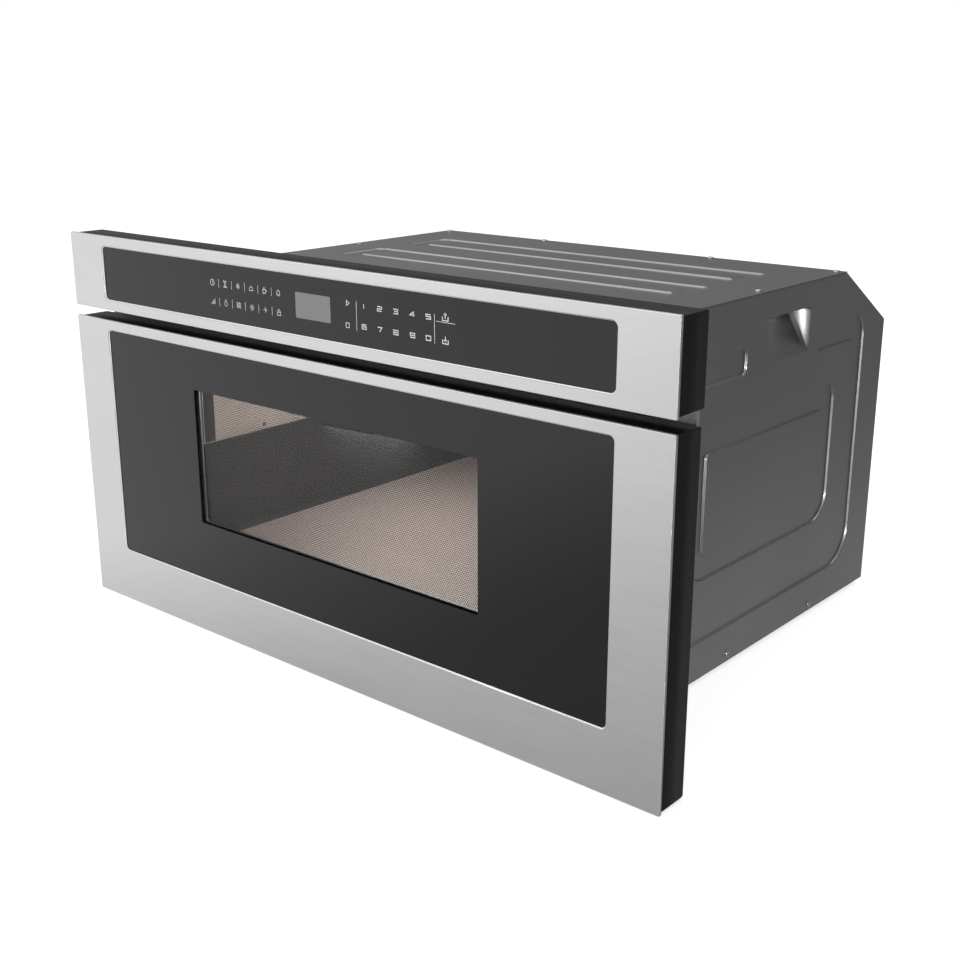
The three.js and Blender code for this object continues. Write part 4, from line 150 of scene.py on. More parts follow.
@dataclass(frozen=True)
class Finish:
    """One finish of the object, made as a Principled material with a grain."""

    name: str
    colour: str
    roughness: float
    metallic: float = 0.0
    ior: float = 1.5
    alpha: float = 1.0
    specular: float = 0.5
    brushed: float = 0.0
    grains: tuple[Grain, ...] = ()

    def material(self) -> bpy.types.Material:
        """Gives this finish's material, which is made on its first use.

        Returns:
            The material.
        """
        made = bpy.data.materials.get(self.name)
        if made is None:
            made = bpy.data.materials.new(self.name)
            made.use_nodes = True
            self.dress(made.node_tree)
        return made

    def dress(self, tree: Tree) -> None:
        """Builds the shader. A metal keeps the default IOR.

        Args:
            tree: The material's node tree, with its default nodes.
        """
        shader = tree.nodes["Principled BSDF"]
        values = {"Base Color": linear(self.colour), "Roughness": self.roughness, "Metallic": self.metallic,
                  "Alpha": self.alpha, "Specular IOR Level": self.specular}
        if not self.metallic:
            values["IOR"] = self.ior
        if self.brushed:
            values["Anisotropic"] = self.brushed
            across = add_node(tree, "Tangent", {"direction_type": "RADIAL", "axis": "X"})
            tree.links.new(across.outputs[0], shader.inputs["Tangent"])
        for name, value in values.items():
            shader.inputs[name].default_value = value
        for name, socket in self.pattern(tree, add_node(tree, "TexCoord").outputs["Object"]).items():
            tree.links.new(socket, shader.inputs[name])

    def pattern(self, tree: Tree, place: Socket) -> dict[str, Socket]:
        """Adds each grain to the shader's colour, roughness and relief.

        Args:
            tree: The material's node tree.
            place: The place on the object.

        Returns:
            The sockets that feed the shader, by its inputs' names.
        """
        made: dict[str, Socket] = {}
        for grain in self.grains:
            scale = tuple(1 / size for size in grain.size)
            spot = add_node(tree, "Mapping", {"Scale": scale}, {"Vector": place}).outputs[0]
            settings = {"Scale": 1.0, "Detail": grain.detail, "Roughness": NOISE_ROUGHNESS}
            noise = add_node(tree, "TexNoise", settings, {"Vector": spot}).outputs["Fac"]
            if grain.shade:
                made["Base Color"] = self.shaded(tree, noise, grain.shade, made.get("Base Color"))
            if grain.gloss:
                made["Roughness"] = self.varied(tree, noise, grain.gloss, made.get("Roughness"))
            if grain.relief:
                under = {"Normal": made["Normal"]} if "Normal" in made else {}
                made["Normal"] = add_node(
                    tree, "Bump", {"Strength": 1.0, "Distance": grain.relief},
                    {"Height": noise, **under}).outputs[0]
        return made

    def shaded(self, tree: Tree, factor: Socket, share: float, under: Socket | None = None) -> Socket:
        """Darkens and lightens a colour by a pattern.

        Args:
            tree: The material's node tree.
            factor: The pattern, about 0.5 on average.
            share: The share of the colour's value that the pattern moves it by.
            under: The colour so far, or None for the finish's own.

        Returns:
            The new colour.
        """
        reach = {**NOISE_RANGE, "To Min": 1 - share, "To Max": 1 + share}
        links = {"Scale": add_node(tree, "MapRange", reach, {"Value": factor}).outputs[0]}
        if under is not None:
            links[0] = under
        settings = {"operation": "SCALE", 0: linear(self.colour)[:3]}
        return add_node(tree, "VectorMath", settings, links).outputs[0]

    def varied(self, tree: Tree, factor: Socket, share: float, under: Socket | None = None) -> Socket:
        """Varies the roughness by a pattern.

        Args:
            tree: The material's node tree.
            factor: The pattern, about 0.5 on average.
            share: How far the roughness goes below and above its own value.
            under: The roughness so far, or None for the finish's own.

        Returns:
            The new roughness.
        """
        middle = self.roughness if under is None else 0.0
        reach = {**NOISE_RANGE, "To Min": middle - share, "To Max": middle + share}
        level = add_node(tree, "MapRange", reach, {"Value": factor}).outputs[0]
        if under is None:
            return level
        return add_node(tree, "Math", {"operation": "ADD"}, {0: under, 1: level}).outputs[0]


@dataclass(frozen=True)
class Laminated(Finish):
    """A finish with straight layers across one axis, such as stacked iron or wound wire."""

    axis: str = "X"
    pitch: float = mm(1.6)
    depth: float = mm(0.3)
    shade: float = 0.28
    unevenness: float = 0.6
    sharpness: float = 0.8

    def pattern(self, tree: Tree, place: Socket) -> dict[str, Socket]:
        """Adds the layers as fine grooves, darker in their bottoms.

        Args:
            tree: The material's node tree.
            place: The place on the object.

        Returns:
            The sockets that feed the shader, by its inputs' names.
        """
        settings = {"bands_direction": self.axis, "Scale": WAVE_REPEAT / self.pitch,
                    "Distortion": self.unevenness, "Detail": 1.0, "Detail Scale": 2.0}
        wave = add_node(tree, "TexWave", settings, {"Vector": place}).outputs["Fac"]
        colour = self.shaded(tree, wave, self.shade)
        groove = {"Strength": self.sharpness, "Distance": self.depth}
        return {"Base Color": colour, "Normal": add_node(tree, "Bump", groove, {"Height": wave}).outputs[0]}


@dataclass(frozen=True)
class Spangled(Finish):
    """Hot-dip zinc, which freezes in flat crystals a centimetre or so across."""

    spangle: float = mm(9)
    shade: float = 0.045
    gloss: float = 0.035

    def pattern(self, tree: Tree, place: Socket) -> dict[str, Socket]:
        """Gives each crystal its own grey and shine.

        Args:
            tree: The material's node tree.
            place: The place on the object.

        Returns:
            The sockets that feed the shader, by its inputs' names.
        """
        settings = {"Scale": 1 / self.spangle, "Randomness": 1.0}
        cells = add_node(tree, "TexVoronoi", settings, {"Vector": place}).outputs["Color"]
        crystal = add_node(tree, "SeparateColor", links={"Color": cells}).outputs[0]
        return {"Base Color": self.shaded(tree, crystal, self.shade),
                "Roughness": self.varied(tree, crystal, self.gloss)}


# Type 430 stainless, belt-brushed along X. The real lines are about 0.05 mm apart. They are
# drawn 0.9 mm high here, the finest that shows, and read as a soft horizontal streak.
BRUSHED_STEEL = Finish("brushed_stainless", "d4d4d4", 0.36, metallic=1.0, brushed=0.8, grains=(
    Grain((mm(70), mm(70), mm(0.9)), detail=3.0, relief=mm(0.012), shade=0.035, gloss=0.03),
    Grain((mm(240), mm(240), mm(90)), detail=1.0, shade=0.015),
))
# ABS from a spark-eroded mould: near black, with a fine matt texture that softens highlights.
BLACK_ABS = Finish("moulded_black_abs", "121213", 0.45, ior=1.53, specular=0.22, grains=(
    Grain(evenly(1.1), detail=1.0, relief=mm(0.02), gloss=0.05),))
# Float glass painted black on its back: a deep neutral black under a smooth, clear gloss.
PAINTED_GLASS = Finish("back_painted_glass", "0b0b0c", 0.1, ior=1.52, grains=(
    Grain((mm(160), mm(160), mm(120)), detail=1.0, shade=0.06),))
# The same glass where the paint stops: nearly clear, and still with its surface gloss.
CLEAR_GLASS = Finish("window_glass", "141414", 0.06, ior=1.52, alpha=0.08)
# Coated sheet steel of the cabinet: satin, with a metallic sheen on every pressed slope.
CABINET_STEEL = Finish("coated_cabinet_steel", "9a9a9a", 0.33, metallic=1.0, grains=(
    Grain(evenly(2.2), relief=mm(0.006), gloss=0.04),
    Grain(evenly(180), detail=1.0, shade=0.05),
))
# Galvanised sheet, for the hidden frame, slides and base: light grey, with faint flat crystals.
ZINC_SHEET = Spangled("galvanised_sheet", "b4b6b6", 0.38, metallic=0.9)
# Vitreous enamel inside the oven: a warm light grey, glossy, with slight orange peel.
OVEN_ENAMEL = Finish("oven_enamel", "bcb1ab", 0.3, grains=(
    Grain(evenly(6), detail=1.0, relief=mm(0.03), shade=0.02),))
# Fluoropolymer coating of the drawn tub: dark grey, satin, faintly speckled. The strips at the oven's mouth
# also wear it, as painted shade.
TUB_COATING_AND_MOUTH_SHADE = Finish("nonstick_coating_and_mouth_shade", "2f2e2d", 0.5, specular=0.12, grains=(
    Grain(evenly(0.9), shade=0.16, gloss=0.05),))
# Glazed cordierite plate in the tub's floor: warm light grey and smooth.
CERAMIC_PLATE = Finish("glazed_ceramic", "b8aba4", 0.28, grains=(
    Grain(evenly(1.4), detail=3.0, shade=0.05, relief=mm(0.01)),))
# Perforated steel of the door screen, grey coated: its webs stay just lighter than the dark oven.
GREY_COATING = Finish("grey_coated_screen", "3b3a39", 0.55, grains=(Grain(evenly(3), shade=0.1),))
# The unlit display: a grey filter sheet behind the glass, flat and even.
DISPLAY_FILTER = Finish("display_filter", "a9a9a9", 0.35, grains=(
    Grain((mm(30), mm(30), mm(20)), detail=1.0, shade=0.03),))
# The same filter where it is bonded to the back of the glass: flat grey under a clear gloss.
DISPLAY_GLASS = Finish("display_behind_glass", "828282", 0.1, ior=1.52)
# Screen-printed ink, off-white and matt, a few hundredths of a millimetre thick.
PRINTED_INK = Finish("printed_ink", "dcdcdc", 0.6, grains=(Grain(evenly(0.8), shade=0.06),))
# Mica sheet over the stirrer: pale brown, flaky and dull.
MICA_SHEET = Finish("mica_sheet", "c9bda6", 0.6, grains=(
    Grain((mm(14), mm(14), mm(4)), detail=4.0, shade=0.1, relief=mm(0.03)),))
# Glass-filled nylon of the fan and duct: dark grey with a flow-marked, dull surface.
FILLED_NYLON = Finish("glass_filled_nylon", "67696b", 0.55, grains=(
    Grain(evenly(4), detail=3.0, shade=0.06, relief=mm(0.03)),))
# Acetal of the rack, pinion and hooks: milky white, waxy and smooth.
ACETAL = Finish("moulded_acetal", "dcdad2", 0.4, grains=(
    Grain(evenly(18), detail=1.0, shade=0.02, gloss=0.04),))
# Green solder mask over a copper pattern, glossy.
SOLDER_MASK = Finish("solder_mask", "3a6a44", 0.3, grains=(
    Grain((mm(7), mm(2), mm(7)), detail=0.0, shade=0.25, relief=mm(0.04)),))
# Rolled aluminium of fins, can and vanes: bright, with soft rolling streaks.
ROLLED_ALUMINIUM = Finish("rolled_aluminium", "b0b2b4", 0.3, metallic=1.0, grains=(
    Grain((mm(40), mm(2), mm(2)), shade=0.05, gloss=0.06),))
# Enamelled copper wire, layer on layer: a brown sheen in fine steps.
COPPER_WINDING = Laminated(
    "enamelled_copper", "9a5b35", 0.38, metallic=0.6, axis="Z", pitch=mm(1.5), depth=mm(0.5))
# Silicon-steel laminations, varnished, seen on edge: dull grey lines.
IRON_STACK = Laminated("laminated_iron", "56585b", 0.45, metallic=0.7, axis="Y", pitch=mm(2.0))
# Black moulded nylon inside: switches, motors' caps and gland, dull and slightly rough.
BLACK_NYLON = Finish("moulded_black_nylon", "242426", 0.5, grains=(
    Grain(evenly(2), detail=1.0, relief=mm(0.03), gloss=0.05),))
# Bright zinc plate on the rolled sheet screws: small sharp glints.
PLATED_SCREW = Finish("plated_screw", "c2c2c4", 0.25, metallic=1.0, grains=(
    Grain(evenly(1), detail=1.0, shade=0.05),))


# ---------------------------------------------------------------- plane shapes


def arc(centre: Point, radius: float, start: float, end: float, steps: int) -> Stroke:
    """Draws an arc.

    Args:
        centre: The arc's centre.
        radius: Its radius.
        start: Its first angle in degrees.
        end: Its last angle in degrees.
        steps: The number of stretches.

    Returns:
        The points, one more than the stretches.
    """
    angles = [math.radians(start + (end - start) * i / steps) for i in range(steps + 1)]
    return [(centre[0] + radius * math.cos(a), centre[1] + radius * math.sin(a)) for a in angles]


@dataclass(frozen=True)
class Rect:
    """A rectangle in a drawing plane."""

    u0: float
    u1: float
    v0: float
    v1: float

    def grown(self, amount: float, stretch: Point = (1.0, 1.0)) -> "Rect":
        """Gives the rectangle with every side moved outwards, further across u or v by the stretch."""
        du, dv = amount * stretch[0], amount * stretch[1]
        return Rect(self.u0 - du, self.u1 + du, self.v0 - dv, self.v1 + dv)

    def loop(self, radii: float | Sequence[float], steps: int = FINE_CORNER) -> Stroke:
        """Draws the rectangle with round corners.

        Args:
            radii: One radius, or four that start at the corner (u1, v0) and go round.
            steps: The stretches in each corner.

        Returns:
            The points in order, counter-clockwise, the same number for any radius.
        """
        given = radii if isinstance(radii, Sequence) else [radii] * 4
        a, b, c, d = [max(radius, SMALLEST_RADIUS) for radius in given]
        corners = (
            (self.u1 - a, self.v0 + a, a, -90), (self.u1 - b, self.v1 - b, b, 0),
            (self.u0 + c, self.v1 - c, c, 90), (self.u0 + d, self.v0 + d, d, 180),
        )
        arcs = [arc((u, v), radius, start, start + 90, steps) for u, v, radius, start in corners]
        return [point for part in arcs for point in part]


def edge_round(radius: float, steps: int = 4) -> list[Point]:
    """Gives a rounded outer edge as pairs of inset and depth, from the side to the face."""
    angles = [math.pi / 2 * i / steps for i in range(steps + 1)]
    return [(radius * (1 - math.cos(a)), radius * (1 - math.sin(a))) for a in angles]


def soft_step(share: float) -> float:
    """Gives a curve from 0 to 1 that starts and ends level."""
    return share * share * (3 - 2 * share)


def ribbon(path: Sequence[Point], width: float, closed: bool = False) -> tuple[Stroke, Stroke]:
    """Gives the two edges of a stroke along a path, mitred at its corners.

    Args:
        path: The middle line.
        width: The stroke's width.
        closed: Whether the last point joins the first.

    Returns:
        The left edge and the right edge.
    """
    count = len(path)
    points = [Vector(p) for p in path]
    left, right = [], []
    for i, point in enumerate(points):
        before = points[i - 1] if closed or i else point
        after = points[(i + 1) % count] if closed or i + 1 < count else point
        one = (point - before).normalized()
        two = (after - point).normalized()
        along = (one + two).normalized()
        open_end = not closed and i in (0, count - 1)
        mitre = 1.0 if open_end else math.sqrt(max((1 + one.dot(two)) / 2, MITRE_LIMIT))
        side = Vector((-along.y, along.x)) * (width / 2 / mitre)
        left.append(tuple(point + side))
        right.append(tuple(point - side))
    return left, right


class Plane(Enum):
    """Where a drawing plane lies: which of (u, v, level) become x, y and z."""

    FRONT = (0, 2, 1)
    SIDE = (2, 0, 1)
    TOP = (0, 1, 2)

    def place(self, point: Point, level: float) -> Place:
        """Places a point of the drawing in space."""
        return tuple((*point, level)[axis] for axis in self.value)


@dataclass
class MeshMaker:
    """Collects the points and faces of one piece."""

    plane: Plane
    points: list[Place] = field(default_factory=list)
    flat: list[Point] = field(default_factory=list)
    faces: list[list[int]] = field(default_factory=list)
    marks: list[tuple[int, bool]] = field(default_factory=list)

    def loop(self, outline: Iterable[Point], level: float) -> list[int]:
        """Adds an outline's points.

        Args:
            outline: The points in the drawing plane.
            level: Their place across it.

        Returns:
            The points' numbers.
        """
        start = len(self.points)
        for point in outline:
            self.points.append(self.plane.place(point, level))
            self.flat.append(point)
        return list(range(start, len(self.points)))

    def rounded(self, rect: Rect, corner: float, growth: float, level: float,
                steps: int = COARSE_CORNER) -> list[int]:
        """Adds a round-cornered rectangle, grown from the drawn one about its corners' centres."""
        return self.loop(rect.grown(growth).loop(corner + growth, steps), level)

    def face(self, corners: Sequence[int], slot: int = 0, smooth: bool = False) -> None:
        """Adds one face."""
        self.faces.append(list(corners))
        self.marks.append((slot, smooth))

    def bridge(self, one: Sequence[int], two: Sequence[int], smooth: bool = True,
               closed: bool = True) -> None:
        """Joins two loops of equal count by a strip of faces.

        Args:
            one: The first loop's points.
            two: The second loop's points.
            smooth: Whether the strip is shaded as a curve.
            closed: Whether it goes round.
        """
        for i in range(len(one) if closed else len(one) - 1):
            j = (i + 1) % len(one)
            self.face((one[i], one[j], two[j], two[i]), smooth=smooth)

    def tower(self, loops: Sequence[Sequence[int]], smooth: bool = True) -> None:
        """Joins each loop to the next."""
        for one, two in zip(loops, loops[1:]):
            self.bridge(one, two, smooth)

    def region(self, outer: Sequence[int], holes: Sequence[Sequence[int]] = (), slot: int = 0) -> None:
        """Fills a flat outline.

        Args:
            outer: The outline's points.
            holes: The points of each hole that stays open.
            slot: The number of the finish.
        """
        rings = [list(outer), *[list(hole) for hole in holes]]
        numbers = [i for ring in rings for i in ring]
        start, outlines = 0, []
        for ring in rings:
            outlines.append(list(range(start, start + len(ring))))
            start += len(ring)
        coords = [Vector(self.flat[i]) for i in numbers]
        _, _, triangles, sources, _, owners = delaunay_2d_cdt(coords, [], outlines, INSIDE_ONLY, WELD)
        for triangle, owned in zip(triangles, owners):
            if 0 in owned and max(owned) == 0:
                self.face([numbers[sources[i][0]] for i in triangle], slot)

    def build(self, name: str, finishes: Sequence[Finish], outward: Place | None = None) -> bpy.types.Object:
        """Makes the object.

        Args:
            name: The piece's name.
            finishes: Its finishes, by the faces' slot numbers.
            outward: For an open sheet, the side that its faces look to.

        Returns:
            The new object, in the scene.
        """
        mesh = bpy.data.meshes.new(name)
        mesh.from_pydata(self.points, [], self.faces)
        for polygon, (slot, smooth) in zip(mesh.polygons, self.marks):
            polygon.material_index = slot
            polygon.use_smooth = smooth
        work = bmesh.new()
        work.from_mesh(mesh)
        bmesh.ops.recalc_face_normals(work, faces=work.faces)
        if outward and sum(f.normal.dot(Vector(outward)) * f.calc_area() for f in work.faces) < 0:
            bmesh.ops.reverse_faces(work, faces=work.faces)
        work.to_mesh(mesh)
        work.free()
        for finish in finishes:
            mesh.materials.append(finish.material())
        piece = bpy.data.objects.new(name, mesh)
        bpy.context.scene.collection.objects.link(piece)
        return piece


def add_piece(piece: bpy.types.Object, body: str, slot: str, *nodes: str) -> None:
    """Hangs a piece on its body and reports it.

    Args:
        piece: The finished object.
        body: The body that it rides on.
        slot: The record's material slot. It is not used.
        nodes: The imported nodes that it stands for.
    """
    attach(piece, body)
    if nodes:
        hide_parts(*nodes)
    LOG.info("%s rides on %s, %d faces", piece.name, body, len(piece.data.polygons))


@dataclass(frozen=True)
class Box:
    """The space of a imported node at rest."""

    low: Vector
    high: Vector

    @classmethod
    def of(cls, node: str) -> "Box":
        """Reads the space of one node."""
        return cls(*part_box(node))

    def front(self) -> Rect:
        """Gives the box's outline seen from the front."""
        return Rect(self.low.x, self.high.x, self.low.z, self.high.z)


# ---------------------------------------------------------------- front: skins, housings, glass


@dataclass
class SteelSkin:
    """A brushed skin with returned edges, folded from sheet round an opening."""

    node: str
    body: str
    opening: Rect
    sheet: float = mm(1.2)
    corner: float = mm(1.0)
    edge: float = mm(0.55)
    lip: float = mm(1.15)
    lip_steps: int = 6
    opening_corner: float = mm(5)

    def build(self) -> None:
        """Builds the skin as one closed sheet."""
        box = Box.of(self.node)
        outline, face, back = box.front(), box.low.y, box.high.y
        around = (outline, self.corner)
        within = (self.opening, self.opening_corner)
        make = MeshMaker(Plane.FRONT)
        sides = [make.rounded(*around, -inset, face + depth, FINE_CORNER)
                 for inset, depth in ((0, back - face), *edge_round(self.edge))]
        lip = [make.rounded(*within, self.lip - depth, face + self.lip - inset, FINE_CORNER)
               for inset, depth in edge_round(self.lip, self.lip_steps)][::-1]
        behind = [
            make.rounded(*within, 0, face + self.sheet, FINE_CORNER),
            make.rounded(*around, -self.sheet, face + self.sheet, FINE_CORNER),
            make.rounded(*around, -self.sheet, back, FINE_CORNER),
        ]
        make.tower(sides)
        make.bridge(sides[-1], lip[0], smooth=False)
        make.tower(lip)
        make.bridge(lip[-1], behind[0])
        make.tower([*behind, sides[0]], smooth=False)
        piece = make.build(self.node + "_skin", [BRUSHED_STEEL])
        add_piece(piece, self.body, "brushed_steel", self.node)


@dataclass
class MouldedHousing:
    """The black box behind a skin, with soft moulded edges and an open back."""

    node: str
    body: str
    rear_opening: Rect
    rear_corner: float = mm(4)
    rear_bevel: float = mm(0.6)
    wall: float = mm(2.5)
    corner: float = mm(1.6)
    edge: float = mm(1.0)
    groove: float = mm(0.5)
    ledge: float = mm(3)
    slant: float = mm(0.3)
    setback: float = mm(0.4)

    def build(self) -> None:
        """Builds the housing as one closed shell."""
        box = Box.of(self.node)
        outline, front, rear = box.front(), box.low.y, box.high.y
        ledge, shoulder, inside_rear = front + self.ledge, rear - self.ledge, rear - self.wall
        make = MeshMaker(Plane.FRONT)
        profile = (
            (self.groove, front), (self.groove, ledge), (0, ledge + self.slant),
            (0, shoulder), (self.setback, shoulder + self.slant),
            *[(self.setback + inset, rear - depth) for inset, depth in edge_round(self.edge)],
        )
        sides = [make.rounded(outline, self.corner, -inset, level) for inset, level in profile]
        rim = ((self.rear_bevel, rear), (0, rear - self.rear_bevel), (0, inside_rear))
        mouth = [make.rounded(self.rear_opening, self.rear_corner, growth, level) for growth, level in rim]
        inside = [make.rounded(outline, self.corner, -self.wall, level) for level in (inside_rear, front)]
        make.tower(sides)
        make.bridge(sides[-1], mouth[0], smooth=False)
        make.tower(mouth)
        make.tower([mouth[-1], *inside, sides[0]], smooth=False)
        piece = make.build(self.node + "_shell", [BLACK_ABS])
        add_piece(piece, self.body, "black_plastic", self.node)


@dataclass
class GlassPane:
    """A flat pane painted black on its back, with one clear window in the paint."""

    node: str
    body: str
    window: Rect
    corner: float = mm(5)
    window_corner: float = mm(2)
    arris: float = mm(0.35)
    behind: Finish = CLEAR_GLASS

    def build(self) -> None:
        """Builds the pane."""
        box = Box.of(self.node)
        front, back = box.low.y, box.high.y
        profile = ((self.arris, front), (0, front + self.arris), (0, back - self.arris), (self.arris, back))
        make = MeshMaker(Plane.FRONT)
        sides = [make.rounded(box.front(), self.corner, -inset, level) for inset, level in profile]
        make.tower(sides, smooth=False)
        for side, level in ((sides[0], front), (sides[-1], back)):
            clear = make.rounded(self.window, self.window_corner, 0, level)
            make.region(side, [clear])
            make.region(clear, slot=1)
        piece = make.build(self.node + "_pane", [PAINTED_GLASS, self.behind])
        add_piece(piece, self.body, "dark_glass", self.node)


@dataclass
class PerforatedScreen:
    """The door's microwave screen: staggered holes in a grey sheet, too thin to draw its edges.

    The real holes are finer. They are drawn on a pitch of 2.1 mm, which still reads as a mesh.
    """

    node: str
    body: str
    window: Rect
    margin: float = mm(2.5)
    pitch: float = mm(2.1)
    hole: float = mm(0.84)
    hole_turn: tuple[float, float, int] = (-30, 270, 5)
    corner: float = mm(3)

    def build(self) -> None:
        """Builds the sheet with every hole cut through."""
        box = Box.of(self.node)
        level = box.low.y
        rect = self.window.grown(self.margin)
        columns = round((rect.u1 - rect.u0) / self.pitch)
        rows = round((rect.v1 - rect.v0) / (self.pitch * math.sin(math.pi / 3)))
        half, rise = (rect.u1 - rect.u0) / columns / 2, (rect.v1 - rect.v0) / rows
        make = MeshMaker(Plane.FRONT)

        @cache
        def corner(column: int, row: int) -> int:
            """Gives the number of one corner of the holes' cells, which is added on its first use."""
            return make.loop([(rect.u0 + column * half, rect.v0 + row * rise)], level)[0]

        for row in range(rows):
            shift = row % 2
            for at in range(shift, 2 * columns - shift, 2):
                ring = [corner(at + 2, row), corner(at + 2, row + 1), corner(at + 1, row + 1),
                        corner(at, row + 1), corner(at, row), corner(at + 1, row)]
                middle = (rect.u0 + (at + 1) * half, rect.v0 + (row + 0.5) * rise)
                hole = make.loop(arc(middle, self.hole, *self.hole_turn), level)
                make.bridge(ring, hole, smooth=False)
            ends = (0, 2 * columns - 1) if shift else ()
            for at in ends:
                spots = ((at, row), (at + 1, row), (at + 1, row + 1), (at, row + 1))
                make.face([corner(*spot) for spot in spots])
        last = 2 * columns
        around = [
            *[(i, 0) for i in range(last)], *[(last, row) for row in range(rows)],
            *[(i, rows) for i in range(last, 0, -1)], *[(0, row) for row in range(rows, 0, -1)],
        ]
        edge = [corner(*spot) for spot in around]
        make.region(make.rounded(box.front(), self.corner, 0, level), [edge])
        piece = make.build(self.node + "_sheet", [GREY_COATING], (0, -1, 0))
        add_piece(piece, self.body, "screen_metal", self.node)


# ---------------------------------------------------------------- touch panel


@dataclass(frozen=True)
class Sign:
    """One printed sign: strokes in a unit square, its middle in millimetres, its sides and its line."""

    strokes: Sequence[Stroke]
    middle: Point
    size: Point
    line: float


def spokes(angles: Iterable[float], inner: float, outer: float) -> list[Stroke]:
    """Gives straight strokes on lines through the middle of a unit square."""
    return [[(0.5 + r * math.cos(a), 0.5 + r * math.sin(a)) for r in (inner, outer)] for a in angles]


def key_symbols() -> list[list[Stroke]]:
    """Gives the plain symbols of the cooking keys, each in a unit square.

    Returns:
        The strokes of each symbol, in the keys' order.
    """
    middle = (0.5, 0.5)
    clock = [arc(middle, 0.45, 90, 450, 14), [(0.5, 0.78), middle, (0.7, 0.4)]]
    timer = [[(0.2, v), (0.8, v), middle, (0.2, v)] for v in (0.95, 0.05)]
    flake = spokes((math.pi / 2, math.pi / 6, -math.pi / 6), -0.45, 0.45)
    dish = [[(0.02, 0.2), (0.98, 0.2)], [(0.12, 0.32), *arc((0.5, 0.34), 0.38, 180, 0, 10), (0.88, 0.32)],
            [(0.5, 0.74), (0.5, 0.9)]]
    cup = [[(0.1, 0.65), (0.18, 0.1), (0.68, 0.1), (0.76, 0.65), (0.1, 0.65)],
           [(0.76, 0.55), (0.95, 0.5), (0.72, 0.28)], *[[(u, 0.78), (u, 0.98)] for u in (0.3, 0.54)]]
    bell = [[(0.08, 0.18), (0.92, 0.18)],
            [(0.2, 0.2), (0.24, 0.6), *arc((0.5, 0.6), 0.26, 180, 0, 8), (0.8, 0.2)],
            [(0.42, 0.04), (0.58, 0.04)]]
    levels = [[(0.1 + 0.2 * i, 0.05), (0.1 + 0.2 * i, 0.2 + 0.18 * i)] for i in range(5)]
    drop = [[(0.5, 0.98), (0.24, 0.5), *arc((0.5, 0.34), 0.3, 160, 380, 10), (0.5, 0.98)]]
    waves = [[(i / 8, v + 0.1 * math.sin(i * math.pi / 2)) for i in range(9)] for v in (0.2, 0.5, 0.8)]
    sun = [arc(middle, 0.2, 90, 450, 10), *spokes([i * math.pi / 4 for i in range(8)], 0.32, 0.48)]
    plus = [[(0.1, 0.5), (0.9, 0.5)], [(0.5, 0.1), (0.5, 0.9)]]
    lock = [[(0.15, 0.05), (0.85, 0.05), (0.85, 0.5), (0.15, 0.5), (0.15, 0.05)],
            [(0.28, 0.5), *arc((0.5, 0.68), 0.22, 180, 0, 8), (0.72, 0.5)]]
    return [clock, timer, flake, dish, cup, bell, levels, drop, waves, sun, plus, lock]


